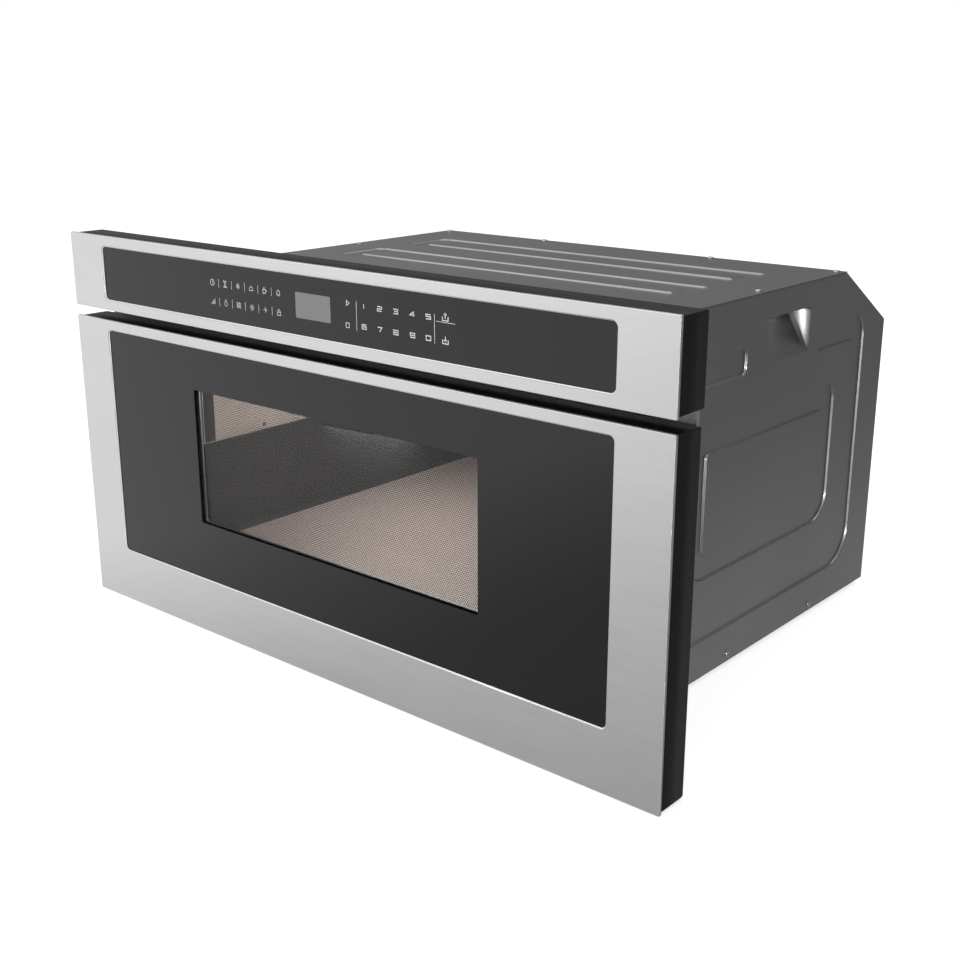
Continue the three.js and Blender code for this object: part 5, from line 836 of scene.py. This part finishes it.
@dataclass
class TouchPanel:
    """Printed marks of the touch panel: digits, dividers and plain key symbols.

    Places on the panel are in millimetres.
    """

    body: str
    ink_height: float = mm(0.06)
    rows: Point = (375.3, 357.3)
    digit_columns: tuple[float, ...] = (58.0, 77.2, 96.2, 115.7, 134.0)
    digit_size: Point = (mm(5.2), mm(3.8))
    digit_line: float = mm(0.9)
    symbol_start: float = -148.0
    symbol_pitch: float = 19.0
    symbols_in_row: int = 6
    symbol_size: Point = (mm(6.4), mm(6.4))
    symbol_line: float = mm(0.6)
    start_key: Point = (38.0, 376.0)
    stop_key: Point = (37.5, 356.3)
    start_size: Point = (mm(5), mm(5))
    start_line: float = mm(0.7)
    tray_keys: tuple[Point, Point] = ((153.0, 377.3), (153.0, 358.0))
    tray_size: Point = (mm(6.2), mm(6.2))
    tray_line: float = mm(0.9)
    upright_dividers: tuple[tuple[float, float, float], ...] = ((48.9, 352.7, 379.0), (141.0, 353.7, 378.3))
    upright_line: float = mm(0.5)
    tray_divider: tuple[float, float, float] = (142.7, 163.7, 372.7)
    divider_reach: float = 4.0
    divider_line: float = mm(0.45)

    GLYPHS = {
        "1": [[(0.5, 0), (0.5, 1)]],
        "2": [[(0, 1), (1, 1), (1, 0.5), (0, 0.5), (0, 0), (1, 0)]],
        "3": [[(0, 1), (1, 1), (1, 0), (0, 0)], [(0.2, 0.5), (1, 0.5)]],
        "4": [[(0.78, 0), (0.78, 1), (0, 0.3), (1.05, 0.3)]],
        "5": [[(1, 1), (0, 1), (0, 0.54), (1, 0.54), (1, 0), (0, 0)]],
        "6": [[(1, 1), (0, 1), (0, 0), (1, 0), (1, 0.52), (0, 0.52)]],
        "7": [[(0, 1), (1, 1), (0.45, 0)]],
        "8": [[(0, 0.5), (0, 1), (1, 1), (1, 0), (0, 0), (0, 0.5), (1, 0.5)]],
        "9": [[(0, 0), (1, 0), (1, 1), (0, 1), (0, 0.48), (1, 0.48)]],
        "0": [[(0, 0.5), (0, 0), (1, 0), (1, 1), (0, 1), (0, 0.5)]],
    }
    START = [[(0.2, 0.05), (0.2, 0.95), (0.9, 0.5), (0.2, 0.05)]]
    STOP = [[(0.1, 0.1), (0.9, 0.1), (0.9, 0.9), (0.1, 0.9), (0.1, 0.1)]]
    TRAY = [[(0.0, 0.55), (0.0, 0.0), (1.0, 0.0), (1.0, 0.55)]]
    ARROW_OUT = [[(0.5, 0.25), (0.5, 1.0)], [(0.26, 0.74), (0.5, 1.0), (0.74, 0.74)]]
    ARROW_IN = [[(0.5, 1.0), (0.5, 0.28)], [(0.26, 0.54), (0.5, 0.28), (0.74, 0.54)]]

    @cached_property
    def face(self) -> float:
        """Gives the level of the ink's foot, a hair off the glass."""
        return Box.of("fascia_glass").low.y - mm(0.01)

    def mark(self, make: MeshMaker, path: Stroke, width: float) -> None:
        """Adds one inked stroke.

        Args:
            make: The maker of the marks' mesh.
            path: The stroke's middle line, in the panel's plane.
            width: The stroke's width.
        """
        levels = (self.face, self.face - self.ink_height)
        closed = len(path) > 3 and math.dist(path[0], path[-1]) < WELD
        left, right = ribbon(path[:-1] if closed else path, width, closed)
        if closed:
            rings = [make.loop(edge, level) for level in levels for edge in (left, right)]
            for one, two in ((0, 1), (2, 3), (0, 2), (1, 3)):
                make.bridge(rings[one], rings[two], smooth=False)
            return
        outline, count = [*left, *reversed(right)], len(left)
        low, high = [make.loop(outline, level) for level in levels]
        for loop in (low, high):
            for i in range(count - 1):
                make.face([loop[i], loop[i + 1], loop[2 * count - 2 - i], loop[2 * count - 1 - i]])
        make.bridge(low, high, smooth=False)

    def dividers(self) -> list[tuple[Point, Point, float]]:
        """Gives the lines between the keys.

        Returns:
            Each line's two ends and its width.
        """
        lines = [((u, foot), (u, top), self.upright_line) for u, foot, top in self.upright_dividers]
        start, end, v = self.tray_divider
        lines.append(((start, v), (end, v), self.divider_line))
        for row in self.rows:
            for i in range(self.symbols_in_row - 1):
                u = self.symbol_start + (i + 0.5) * self.symbol_pitch
                foot, top = row - self.divider_reach, row + self.divider_reach
                lines.append(((u, foot), (u, top), self.divider_line))
        return lines

    def signs(self) -> list[Sign]:
        """Gives the signs of all keys but the digits.

        Returns:
            The signs, the cooking keys' first.
        """
        signs = []
        for index, symbol in enumerate(key_symbols()):
            row, column = divmod(index, self.symbols_in_row)
            middle = (self.symbol_start + column * self.symbol_pitch, self.rows[row])
            signs.append(Sign(symbol, middle, self.symbol_size, self.symbol_line))
        for strokes, middle in ((self.START, self.start_key), (self.STOP, self.stop_key)):
            signs.append(Sign(strokes, middle, self.start_size, self.start_line))
        for arrow, middle in zip((self.ARROW_OUT, self.ARROW_IN), self.tray_keys):
            signs.append(Sign(self.TRAY + arrow, middle, self.tray_size, self.tray_line))
        return signs

    def print_signs(self, name: str, signs: Iterable[Sign]) -> None:
        """Builds a group of signs as one printed piece.

        Args:
            name: The piece's name.
            signs: The signs.
        """
        make = MeshMaker(Plane.FRONT)
        for sign in signs:
            (across, up), (width, height) = sign.middle, sign.size
            for path in sign.strokes:
                spots = [(mm(across) + (u - 0.5) * width, mm(up) + (v - 0.5) * height) for u, v in path]
                self.mark(make, spots, sign.line)
        add_piece(make.build(name, [PRINTED_INK]), self.body, "brushed_steel")

    def build(self) -> None:
        """Builds the marks on the fascia's glass as one printed piece for each group."""
        digits = []
        for index, strokes in enumerate(self.GLYPHS.values()):
            row, column = divmod(index, len(self.digit_columns))
            middle = (self.digit_columns[column], self.rows[row])
            digits.append(Sign(strokes, middle, self.digit_size, self.digit_line))
        self.print_signs("key_digits", digits)
        make = MeshMaker(Plane.FRONT)
        for one, two, width in self.dividers():
            self.mark(make, [(mm(u), mm(v)) for u, v in (one, two)], width)
        add_piece(make.build("key_dividers", [PRINTED_INK]), self.body, "brushed_steel")
        self.print_signs("key_symbols", self.signs())


# ---------------------------------------------------------------- cabinet


@dataclass
class PressedSheet:
    """Shared shape of the cabinet's sheets: bands pressed inwards with soft edges."""

    node: str = ""
    sheet: float = mm(1.0)
    depth: float = mm(2.4)
    slope: float = mm(1.8)
    stretch: Point = (1.0, 1.0)
    steps: int = 8
    island_corner: float = mm(3)

    def profile(self) -> list[Point]:
        """Gives a band's flank as pairs of inset and depth, from the face to its bottom."""
        shares = [i / self.steps for i in range(self.steps + 1)]
        return [(self.slope * share, self.depth * soft_step(share)) for share in shares]

    def band(self, make: MeshMaker, outline: Callable[[float], Stroke], face: float,
             inward: float) -> tuple[list[int], list[int]]:
        """Adds one flank of a band.

        Args:
            make: The maker of the sheet's mesh.
            outline: Gives the flank's outline at an inset.
            face: The level of the sheet's face.
            inward: The direction of the pressing along the plane's axis, 1 or -1.

        Returns:
            The flank's first and last loops.
        """
        loops = [make.loop(outline(inset), face + inward * depth) for inset, depth in self.profile()]
        make.tower(loops)
        return loops[0], loops[-1]

    def ring(self, make: MeshMaker, rect: Rect, radii: Sequence[float], width: float, face: float,
             inward: float) -> tuple[list[int], list[int]]:
        """Adds a closed ring band.

        Args:
            make: The maker of the sheet's mesh.
            rect: The band's outer rectangle.
            radii: Its corner radii.
            width: The band's width.
            face: The level of the sheet's face.
            inward: The direction of the pressing, 1 or -1.

        Returns:
            The outer loop and the island's loop, both at the face.
        """
        island_rect = rect.grown(-width)
        island_radii = [max(radius - width, self.island_corner) for radius in radii]
        outer, bottom = self.band(
            make, lambda d: rect.grown(-d, self.stretch).loop([radius - d for radius in radii]), face, inward)
        island, foot = self.band(
            make, lambda d: island_rect.grown(d, self.stretch).loop([radius + d for radius in island_radii]),
            face, inward)
        make.bridge(bottom, foot, smooth=False)
        return outer, island

    def hang(self, make: MeshMaker, outward: Place) -> None:
        """Makes the piece, with its sheet's thickness inwards from the outer face.

        Args:
            make: The maker of the sheet's mesh.
            outward: The side that the outer face looks to.
        """
        piece = make.build(self.node + "_sheet", [CABINET_STEEL], outward)
        sheet = piece.modifiers.new("sheet_thickness", "SOLIDIFY")
        sheet.thickness = self.sheet
        sheet.offset = -1.0
        sheet.use_even_offset = False
        add_piece(piece, "chassis", "cabinet_steel", self.node)


@dataclass
class SidePanel(PressedSheet):
    """A cabinet side: an interrupted outer ring, an inner ring and a hand pocket."""

    node: str = "side_panel_right"
    side: int = 1
    stretch: Point = (1.0, 0.9)
    band_width: float = mm(26)
    ring_front: float = mm(42.7)
    ring_rear: float = mm(48)
    ring_foot: float = mm(38)
    ring_top: float = mm(47.7)
    foot_corner: float = mm(40)
    top_corner: float = mm(22)
    inner_front: float = mm(114)
    inner_rear: float = mm(60.5)
    inner_foot: float = mm(64.5)
    inner_top: float = mm(65.5)
    inner_corner_share: float = 0.75
    end_corner: float = mm(7)
    least_end_corner: float = mm(1)
    end_steps: int = 5
    break_before: float = mm(32)
    break_after: float = mm(18)
    pocket_from_rear: float = mm(176)
    pocket_length: float = mm(89)
    pocket_height: float = mm(45)
    pocket_from_top: float = mm(25)
    pocket_depth: float = mm(27)
    pocket_rear_run: float = mm(6)
    pocket_wall_share: float = 0.68
    pocket_grid: tuple[int, int, int] = (19, 7, 12)
    chamfer_run: float = mm(100.8)
    chamfer_drop: float = mm(61.7)

    def pocket(self, make: MeshMaker, rect: Rect, face: float) -> list[int]:
        """Adds the scooped hand pocket.

        Args:
            make: The maker of the sheet's mesh.
            rect: The pocket's mouth.
            face: The level of the sheet's face.

        Returns:
            The mouth's loop.
        """
        ramp_columns, rear_columns, rows = self.pocket_grid
        length, height = rect.u1 - rect.u0, rect.v1 - rect.v0
        ramp = 1 - self.pocket_rear_run / length
        shares = [ramp * i / ramp_columns for i in range(ramp_columns + 1)]
        shares += [ramp + (1 - ramp) * (i + 1) / rear_columns for i in range(rear_columns)]
        grid: list[list[int]] = []
        for along in shares:
            rest = (1 - along) / (1 - ramp)
            rear = self.pocket_wall_share + (1 - self.pocket_wall_share) * rest if along < 1 else 0.0
            reach = self.pocket_depth * min(soft_step(min(along / ramp, 1.0)), rear)
            grid.append([
                make.loop([(rect.u0 + length * along, rect.v0 + height * (j / rows))],
                          face - self.side * reach * (j / rows))[0]
                for j in range(rows + 1)])
        for one, two in zip(grid, grid[1:]):
            make.bridge(one, two, closed=False)
        roof = [make.loop([(rect.u0 + length * along, rect.v1)], face)[0] for along in shares[1:-1]]
        top = [grid[0][-1], *roof, grid[-1][-1]]
        deep = [line[-1] for line in grid]
        for i in range(len(shares) - 1):
            ring = [top[i], top[i + 1], deep[i + 1], deep[i]]
            make.face([corner for n, corner in enumerate(ring) if corner not in ring[:n]])
        foot = [line[0] for line in grid]
        return [*foot, *grid[-1][1:], *reversed(top[:-1]), *reversed(grid[0][1:-1])]

    def broken_ring(self, rect: Rect, gap: Point, inset: float) -> Stroke:
        """Draws the outline of the outer ring with its gap in the top band.

        Args:
            rect: The ring's outer rectangle.
            gap: Where the top band stops and starts again.
            inset: How far inside the band's edge the outline lies.

        Returns:
            The outline's points, the same number for any inset.
        """
        outer = rect.grown(-inset, self.stretch)
        island = rect.grown(-self.band_width).grown(inset, self.stretch)
        foot, top = self.foot_corner - inset, self.top_corner - inset
        inner_foot, inner_top = self.foot_corner - self.band_width + inset, self.island_corner + inset
        end = max(self.end_corner - inset, self.least_end_corner)
        stop, start = gap[0] - inset - end, gap[1] + inset + end
        few, many = self.end_steps, FINE_CORNER
        arcs = (
            (stop, island.v1 + end, end, -90, 0, few), (stop, outer.v1 - end, end, 0, 90, few),
            (outer.u0 + top, outer.v1 - top, top, 90, 180, many),
            (outer.u0 + foot, outer.v0 + foot, foot, 180, 270, many),
            (outer.u1 - foot, outer.v0 + foot, foot, 270, 360, many),
            (outer.u1 - top, outer.v1 - top, top, 0, 90, many),
            (start, outer.v1 - end, end, 90, 180, few), (start, island.v1 + end, end, 180, 270, few),
            (island.u1 - inner_top, island.v1 - inner_top, inner_top, 90, 0, many),
            (island.u1 - inner_foot, island.v0 + inner_foot, inner_foot, 0, -90, many),
            (island.u0 + inner_foot, island.v0 + inner_foot, inner_foot, 270, 180, many),
            (island.u0 + inner_top, island.v1 - inner_top, inner_top, 180, 90, many),
        )
        return [point for u, v, radius, *turn in arcs for point in arc((u, v), radius, *turn)]

    def build(self) -> None:
        """Builds the panel."""
        box = Box.of(self.node)
        face = box.high.x if self.side > 0 else box.low.x
        y0, y1, z0, z1 = box.low.y, box.high.y, box.low.z, box.high.z
        make = MeshMaker(Plane.SIDE)
        outer = Rect(y0 + self.ring_front, y1 - self.ring_rear, z0 + self.ring_foot, z1 - self.ring_top)
        inner = Rect(outer.u0 + self.inner_front, outer.u1 - self.inner_rear,
                     outer.v0 + self.inner_foot, outer.v1 - self.inner_top)
        mouth = Rect(y1 - self.pocket_from_rear - self.pocket_length, y1 - self.pocket_from_rear,
                     z1 - self.pocket_from_top - self.pocket_height, z1 - self.pocket_from_top)
        gap = (mouth.u0 - self.break_before, mouth.u1 + self.break_after)
        ring_edge, ring_bottom = self.band(make, lambda d: self.broken_ring(outer, gap, d), face, -self.side)
        make.region(ring_bottom)
        corners = (self.foot_corner, self.top_corner, self.top_corner, self.foot_corner)
        radii = [self.inner_corner_share * radius for radius in corners]
        inner_edge, island = self.ring(make, inner, radii, self.band_width, face, -self.side)
        pocket_edge = self.pocket(make, mouth, face)
        outline = make.loop([
            (y0, z0), (y1, z0), (y1, z1 - self.chamfer_drop), (y1 - self.chamfer_run, z1), (y0, z1)], face)
        make.region(outline, [ring_edge, inner_edge, pocket_edge])
        make.region(island)
        self.hang(make, (self.side, 0, 0))


@dataclass
class TopPanel(PressedSheet):
    """The cabinet's top with two ring bands."""

    node: str = "top_panel"
    depth: float = mm(2.0)
    stretch: Point = (3.0, 1.0)
    rings: int = 2
    ring_width: float = mm(448)
    ring_length: float = mm(70)
    ring_gap: float = mm(40)
    ring_rear: float = mm(67.5)
    band_width: float = mm(21.5)
    corner: float = mm(10)

    def build(self) -> None:
        """Builds the panel."""
        box = Box.of(self.node)
        make = MeshMaker(Plane.TOP)
        face, x0, x1, y0, y1 = box.high.z, box.low.x, box.high.x, box.low.y, box.high.y
        outline = make.loop([(x0, y0), (x1, y0), (x1, y1), (x0, y1)], face)
        holes = []
        for i in range(self.rings):
            rear = y1 - self.ring_rear - i * (self.ring_length + self.ring_gap)
            rect = Rect(-self.ring_width / 2, self.ring_width / 2, rear - self.ring_length, rear)
            mouth, island = self.ring(make, rect, [self.corner] * 4, self.band_width, face, -1)
            holes.append(mouth)
            make.region(island)
        make.region(outline, holes)
        self.hang(make, (0, 0, 1))


@dataclass
class SheetScrews:
    """Pan-head sheet screws of the cabinet, each with a cross recess.

    Places on the top are from its middle line and from its front edge or, where negative, its rear
    edge. Those on a side are from its front edge and the floor.
    """

    radius: float = mm(3.6)
    height: float = mm(1.7)
    recess: float = mm(2.0)
    recess_half_width: float = mm(0.45)
    recess_depth: float = mm(0.7)
    dome: tuple[float, ...] = (0, 0.3, 0.6, 0.85, 1.0)
    dome_turn: float = math.pi / 2.6
    crown_share: float = 0.92
    sides: int = 24
    top_places: tuple[Point, ...] = ((mm(266), mm(274)), (mm(266), mm(-8)), (mm(115.5), mm(-6)))
    side_places: tuple[Point, ...] = ((mm(240.5), mm(13.5)), (mm(412.5), mm(12.5)), (mm(60), mm(13.5)))

    def head(self, make: MeshMaker, spot: Point, face: float, outward: float) -> None:
        """Adds one domed head.

        Args:
            make: The maker of the heads' mesh.
            spot: The screw's place in the plane.
            face: The level of the sheet's face.
            outward: The direction that the head looks in, 1 or -1.
        """
        loops = []
        for share in self.dome:
            radius = self.radius * math.cos(share * self.dome_turn)
            level = face + outward * self.height * math.sin(share * math.pi / 2)
            loops.append(make.loop(arc(spot, radius, 0, 360 - 360 / self.sides, self.sides - 1), level))
        make.tower(loops)
        crown = self.crown_share * self.radius * math.cos(self.dome_turn)
        scale = min(1.0, crown / self.recess)
        reach, half = self.recess * scale, self.recess_half_width * scale
        quarter, cross = [(reach, -half), (reach, half), (half, half)], []
        for _ in range(4):
            cross += quarter
            quarter = [(-v, u) for u, v in quarter]
        top = face + outward * self.height
        mouth, floor = [make.loop([(spot[0] + u, spot[1] + v) for u, v in cross], level)
                        for level in (top, top - outward * self.recess_depth)]
        make.region(loops[-1], [mouth])
        make.bridge(mouth, floor, smooth=False)
        make.region(floor)
        make.region(loops[0])

    def build(self) -> None:
        """Builds the heads on the top and the sides."""
        top, side = Box.of("top_panel"), Box.of("side_panel_right")
        make = MeshMaker(Plane.TOP)
        for x, y in self.top_places:
            for sign in (1, -1):
                self.head(make, (sign * x, y + (top.low.y if y > 0 else top.high.y)), top.high.z, 1)
        add_piece(make.build("top_screws", [PLATED_SCREW]), "chassis", "zinc_steel")
        for sign, name in ((1, "right"), (-1, "left")):
            make = MeshMaker(Plane.SIDE)
            for y, z in self.side_places:
                self.head(make, (side.low.y + y, z), sign * side.high.x, sign)
            add_piece(make.build(f"side_screws_{name}", [PLATED_SCREW]), "chassis", "zinc_steel")


@dataclass
class OvenMouth:
    """Strips in the tub's dark coating along the oven's mouth above the tub, painted shade there, and the
    plug in its left wall.
    """

    depth: float = mm(13)
    sheet: float = mm(0.6)
    corner: float = mm(0.5)
    above_foot: float = mm(108.3)
    plug: SheetScrews = field(default_factory=lambda: SheetScrews(mm(2.2), mm(0.9), mm(1.2)))
    plug_place: Point = (mm(81), mm(113))

    def build(self) -> None:
        """Builds a dark strip of painted shade on each side wall, and the plug."""
        for side, name in ((-1, "left"), (1, "right")):
            wall = Box.of(f"cavity_side_{name}")
            face = wall.low.x if side > 0 else wall.high.x
            rect = Rect(wall.low.y, wall.low.y + self.depth, wall.low.z + self.above_foot, wall.high.z)
            make = MeshMaker(Plane.SIDE)
            loops = [make.rounded(rect, self.corner, 0, level, FINE_CORNER)
                     for level in (face, face - side * self.sheet)]
            make.tower(loops, smooth=False)
            for loop in loops:
                make.region(loop)
            # Each strip is a dark sheet that paints the shade at the oven's mouth.
            add_piece(make.build(f"mouth_shade_strip_{name}", [TUB_COATING_AND_MOUTH_SHADE]), "chassis", "black_plastic")
        wall = Box.of("cavity_side_left")
        make = MeshMaker(Plane.SIDE)
        spot = (wall.low.y + self.plug_place[0], wall.low.z + self.plug_place[1])
        self.plug.head(make, spot, wall.high.x, 1)
        add_piece(make.build("oven_wall_plug", [BLACK_NYLON]), "chassis", "black_plastic")


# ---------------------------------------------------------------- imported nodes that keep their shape


def both(*stems: str) -> tuple[str, ...]:
    """Gives the names of the right and left nodes of each kind."""
    return tuple(f"{stem}_{side}" for stem in stems for side in ("right", "left"))


DRESS: dict[Finish, tuple[str, ...]] = {
    ZINC_SHEET: (
        "front_frame", "rear_panel", "base_pan", "door_plate", "drawer_cross_member", "waveguide",
        *both("drawer_arm", "rail_outer", "rail_middle", "rail_inner", "rail_bracket", "interlock_bracket")),
    OVEN_ENAMEL: ("cavity_floor", *both("cavity_side"), "cavity_ceiling", "cavity_rear"),
    TUB_COATING_AND_MOUTH_SHADE: ("tub",),
    CERAMIC_PLATE: ("tub_floor",),
    BLACK_ABS: ("choke_cover",),
    DISPLAY_FILTER: ("display_module",),
    MICA_SHEET: ("stirrer_cover",),
    FILLED_NYLON: ("fan_impeller", "air_duct"),
    ACETAL: (*both("latch_hook"), "drive_rack", "drive_pinion", "oven_lamp"),
    SOLDER_MASK: ("touch_board", "power_board", "noise_filter"),
    ROLLED_ALUMINIUM: ("magnetron", "stirrer", "capacitor"),
    COPPER_WINDING: ("transformer_coils",),
    IRON_STACK: ("transformer_core", "fan_motor"),
    BLACK_NYLON: ("gear_motor", "cord_gland", *both("interlock_switch"), "stirrer_motor", "fan_shroud"),
}


def dress_nodes() -> None:
    """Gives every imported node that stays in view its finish."""
    for finish, nodes in DRESS.items():
        for node in nodes:
            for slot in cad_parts[node].material_slots:
                slot.material = finish.material()
            LOG.info("%s is dressed in %s", node, finish.name)


# ---------------------------------------------------------------- stage


@dataclass
class SoftBox:
    """A rectangular lamp that looks at a point."""

    name: str
    place: Place
    target: Place
    size: Point
    power: float
    spread: float = 180.0

    def build(self) -> None:
        """Adds the lamp."""
        lamp = bpy.data.lights.new(self.name, "AREA")
        lamp.spread = math.radians(self.spread)
        lamp.shape = "RECTANGLE"
        lamp.size, lamp.size_y = self.size
        lamp.energy = self.power
        holder = bpy.data.objects.new(self.name, lamp)
        holder.location = self.place
        aim = Vector(self.target) - Vector(self.place)
        holder.rotation_euler = aim.to_track_quat("-Z", "Y").to_euler()
        bpy.context.scene.collection.objects.link(holder)


@dataclass
class Stage:
    """Camera, lamps, pale floor and white surroundings."""

    camera_place: Place = (0.883395, -1.102109, 0.577110)
    camera_tilt: float = 72.687
    camera_turn: float = 40.520
    camera_reach: float = 50.0
    lens: float = 50.248
    sensor: float = 36.0
    floor_size: float = 12.0
    floor_colour: float = 0.8
    floor_glow: float = 0.64
    floor_roughness: float = 0.9
    floor_heading: Place = (1.0, 0.2, 0.0)
    floor_range: Point = (-1.0, 1.0)
    floor_shade: tuple[Point, ...] = ((0.22, 1.0), (0.95, 0.25), (0.47, 0.5))
    mirrored_colour: float = 0.25
    mirrored_glow: float = 0.75
    world_light: float = 0.5
    world_heading: Place = (0.45, 0.85, 0.0)
    world_range: Point = (-1.0, 0.6)
    world_shade: Point = (1.0, 0.2)
    lamps: tuple[SoftBox, ...] = (
        SoftBox("key_front", (-1.6, -2.6, 2.2), (0, 0, 0.2), (4.4, 3.4), 36),
        SoftBox("side_low", (2.0, -2.1, 0.25), (0.2, 0, 0.2), (0.7, 0.5), 24),
        SoftBox("overhead", (0.0, 0.8, 2.6), (0, 0, 0.3), (2.5, 2.5), 20),
        SoftBox("oven_light", (0.0, -0.12, 0.266), (0.01, -0.11, 0.09), (0.4, 0.24), 1.3),
        SoftBox("oven_fill", (0.1, -0.1, 0.235), (-0.227, -0.18, 0.225), (0.08, 0.03), 0.08, 60.0),
    )

    def camera(self) -> None:
        """Sets the camera at the photograph's place and angle."""
        data = bpy.data.cameras.new("view")
        data.lens = self.lens
        data.sensor_width = self.sensor
        data.clip_end = self.camera_reach
        holder = bpy.data.objects.new("view", data)
        holder.location = self.camera_place
        holder.rotation_euler = (math.radians(self.camera_tilt), 0.0, math.radians(self.camera_turn))
        bpy.context.scene.collection.objects.link(holder)
        bpy.context.scene.camera = holder

    def mirrored(self, tree: Tree, path: bpy.types.Node) -> Socket:
        """Gives 1 on the rays that show the surroundings in metal and glass."""
        rays = {0: path.outputs["Is Glossy Ray"], 1: path.outputs["Is Transmission Ray"]}
        return add_node(tree, "Math", {"operation": "MAXIMUM"}, rays).outputs[0]

    def along(self, tree: Tree, place: Socket, heading: Place) -> Socket:
        """Gives how far a place or a direction lies along a heading."""
        settings = {"operation": "DOT_PRODUCT", 1: heading}
        return add_node(tree, "VectorMath", settings, {0: place}).outputs["Value"]

    def world(self) -> None:
        """Makes the surroundings: white to the eye, an even soft lamp, and shaded behind in metal."""
        world = bpy.data.worlds.new("surroundings")
        world.use_nodes = True
        tree = world.node_tree
        background = tree.nodes["Background"]
        background.inputs["Color"].default_value = linear("ffffff")
        path = add_node(tree, "LightPath")
        behind = self.along(tree, add_node(tree, "TexCoord").outputs["Generated"], self.world_heading)
        limits = ("From Min", "From Max", "To Min", "To Max")
        fade = dict(zip(limits, (*self.world_range, *self.world_shade)))
        shade = add_node(tree, "MapRange", {"interpolation_type": "SMOOTHSTEP", **fade}, {"Value": behind})
        others = add_node(
            tree, "MapRange", {"To Min": self.world_light},
            {"Value": self.mirrored(tree, path), "To Max": shade.outputs[0]})
        strength = add_node(
            tree, "MapRange", {"To Max": 1.0},
            {"Value": path.outputs["Is Camera Ray"], "To Min": others.outputs[0]})
        tree.links.new(strength.outputs[0], background.inputs["Strength"])
        bpy.context.scene.world = world

    def floor(self) -> None:
        """Lays a pale floor that reads white, keeps the object's shadow and dims to the right in metal."""
        make = MeshMaker(Plane.TOP)
        half = self.floor_size / 2
        make.region(make.loop([(-half, -half), (half, -half), (half, half), (-half, half)], 0.0))
        floor = make.build("floor", [])
        material = bpy.data.materials.new("pale_floor")
        material.use_nodes = True
        tree = material.node_tree
        shader = tree.nodes["Principled BSDF"]
        shader.inputs["Roughness"].default_value = self.floor_roughness
        shader.inputs["Specular IOR Level"].default_value = 0.0
        shader.inputs["Emission Color"].default_value = linear("ffffff")
        path = add_node(tree, "LightPath")
        mirrored = self.mirrored(tree, path)
        spot = self.along(tree, add_node(tree, "NewGeometry").outputs["Position"], self.floor_heading)
        reach = dict(zip(("From Min", "From Max"), self.floor_range))
        level = add_node(tree, "MapRange", reach, {"Value": spot})
        fall = add_node(tree, "ValToRGB", links={"Fac": level.outputs[0]})
        for index, (where, grey) in enumerate(self.floor_shade):
            stop = fall.color_ramp.elements[index] if index < 2 else fall.color_ramp.elements.new(where)
            stop.position = where
            stop.color = (grey, grey, grey, 1.0)
        dim = add_node(tree, "RGBToBW", links={"Color": fall.outputs["Color"]}).outputs[0]
        low, high = [add_node(tree, "Math", {"operation": "MULTIPLY", 1: share}, {0: dim}).outputs[0]
                     for share in (self.mirrored_colour, self.mirrored_glow)]
        colour = add_node(
            tree, "MapRange", {"To Min": self.floor_colour}, {"Value": mirrored, "To Max": low})
        seen = add_node(
            tree, "MapRange", {"To Max": self.floor_glow}, {"Value": path.outputs["Is Camera Ray"]})
        glow = add_node(
            tree, "MapRange", links={"Value": mirrored, "To Min": seen.outputs[0], "To Max": high})
        tree.links.new(colour.outputs[0], shader.inputs["Base Color"])
        tree.links.new(glow.outputs[0], shader.inputs["Emission Strength"])
        floor.data.materials.append(material)

    def build(self) -> None:
        """Builds the whole stage."""
        self.camera()
        self.world()
        self.floor()
        for lamp in self.lamps:
            lamp.build()
        bpy.context.scene.view_settings.view_transform = "Standard"


# ---------------------------------------------------------------- the whole object


def opening_in(node: str, sides: float, foot: float, top: float) -> Rect:
    """Gives the opening of a skin from its margins."""
    outline = Box.of(node).front()
    return Rect(outline.u0 + sides, outline.u1 - sides, outline.v0 + foot, outline.v1 - top)


@dataclass
class Front:
    """The fascia, the drawer front and the trim of the oven's mouth."""

    frame_width: float = mm(55)
    fascia_margin: float = mm(11.2)
    drawer_foot: float = mm(59)
    drawer_top: float = mm(10.8)
    window_margin: float = mm(5)
    display_left: float = mm(-30)
    display_right: float = mm(15.8)
    display_margin: float = mm(3)
    display_corner: float = mm(0.6)
    door_clearance: float = mm(0.5)
    fascia_rear_rim: float = mm(14)

    def build(self) -> None:
        """Builds the front's pieces in order."""
        window = Box.of("door_screen").front().grown(-self.window_margin)
        module = Box.of("display_module").front().grown(-self.display_margin)
        display = Rect(self.display_left, self.display_right, module.v0, module.v1)
        door_rear = Box.of("door_plate").front().grown(self.door_clearance)
        fascia_rear = Box.of("fascia_housing").front().grown(-self.fascia_rear_rim)
        margins = (self.frame_width, self.fascia_margin, self.fascia_margin)
        SteelSkin("fascia_steel", "chassis", opening_in("fascia_steel", *margins)).build()
        margins = (self.frame_width, self.drawer_foot, self.drawer_top)
        SteelSkin("drawer_front_steel", "drawer", opening_in("drawer_front_steel", *margins)).build()
        MouldedHousing("fascia_housing", "chassis", fascia_rear).build()
        MouldedHousing("drawer_front_housing", "drawer", door_rear).build()
        GlassPane("fascia_glass", "chassis", display, window_corner=self.display_corner,
                  behind=DISPLAY_GLASS).build()
        GlassPane("door_glass", "drawer", window).build()
        PerforatedScreen("door_screen", "drawer", window).build()
        OvenMouth().build()
        TouchPanel("chassis").build()


@dataclass
class Cabinet:
    """The cabinet's outer sheets and their screws."""

    sides: tuple[SidePanel, ...] = (SidePanel(), SidePanel("side_panel_left", side=-1))
    top: TopPanel = field(default_factory=TopPanel)
    screws: SheetScrews = field(default_factory=SheetScrews)

    def build(self) -> None:
        """Builds the cabinet's pieces in order."""
        for part in (*self.sides, self.top, self.screws):
            part.build()


def main() -> None:
    """Builds the stage and the object in order."""
    logging.basicConfig(level=logging.INFO, format="%(name)s: %(message)s")
    Stage().build()
    Front().build()
    Cabinet().build()
    dress_nodes()


if __name__ == "__main__":
    main()
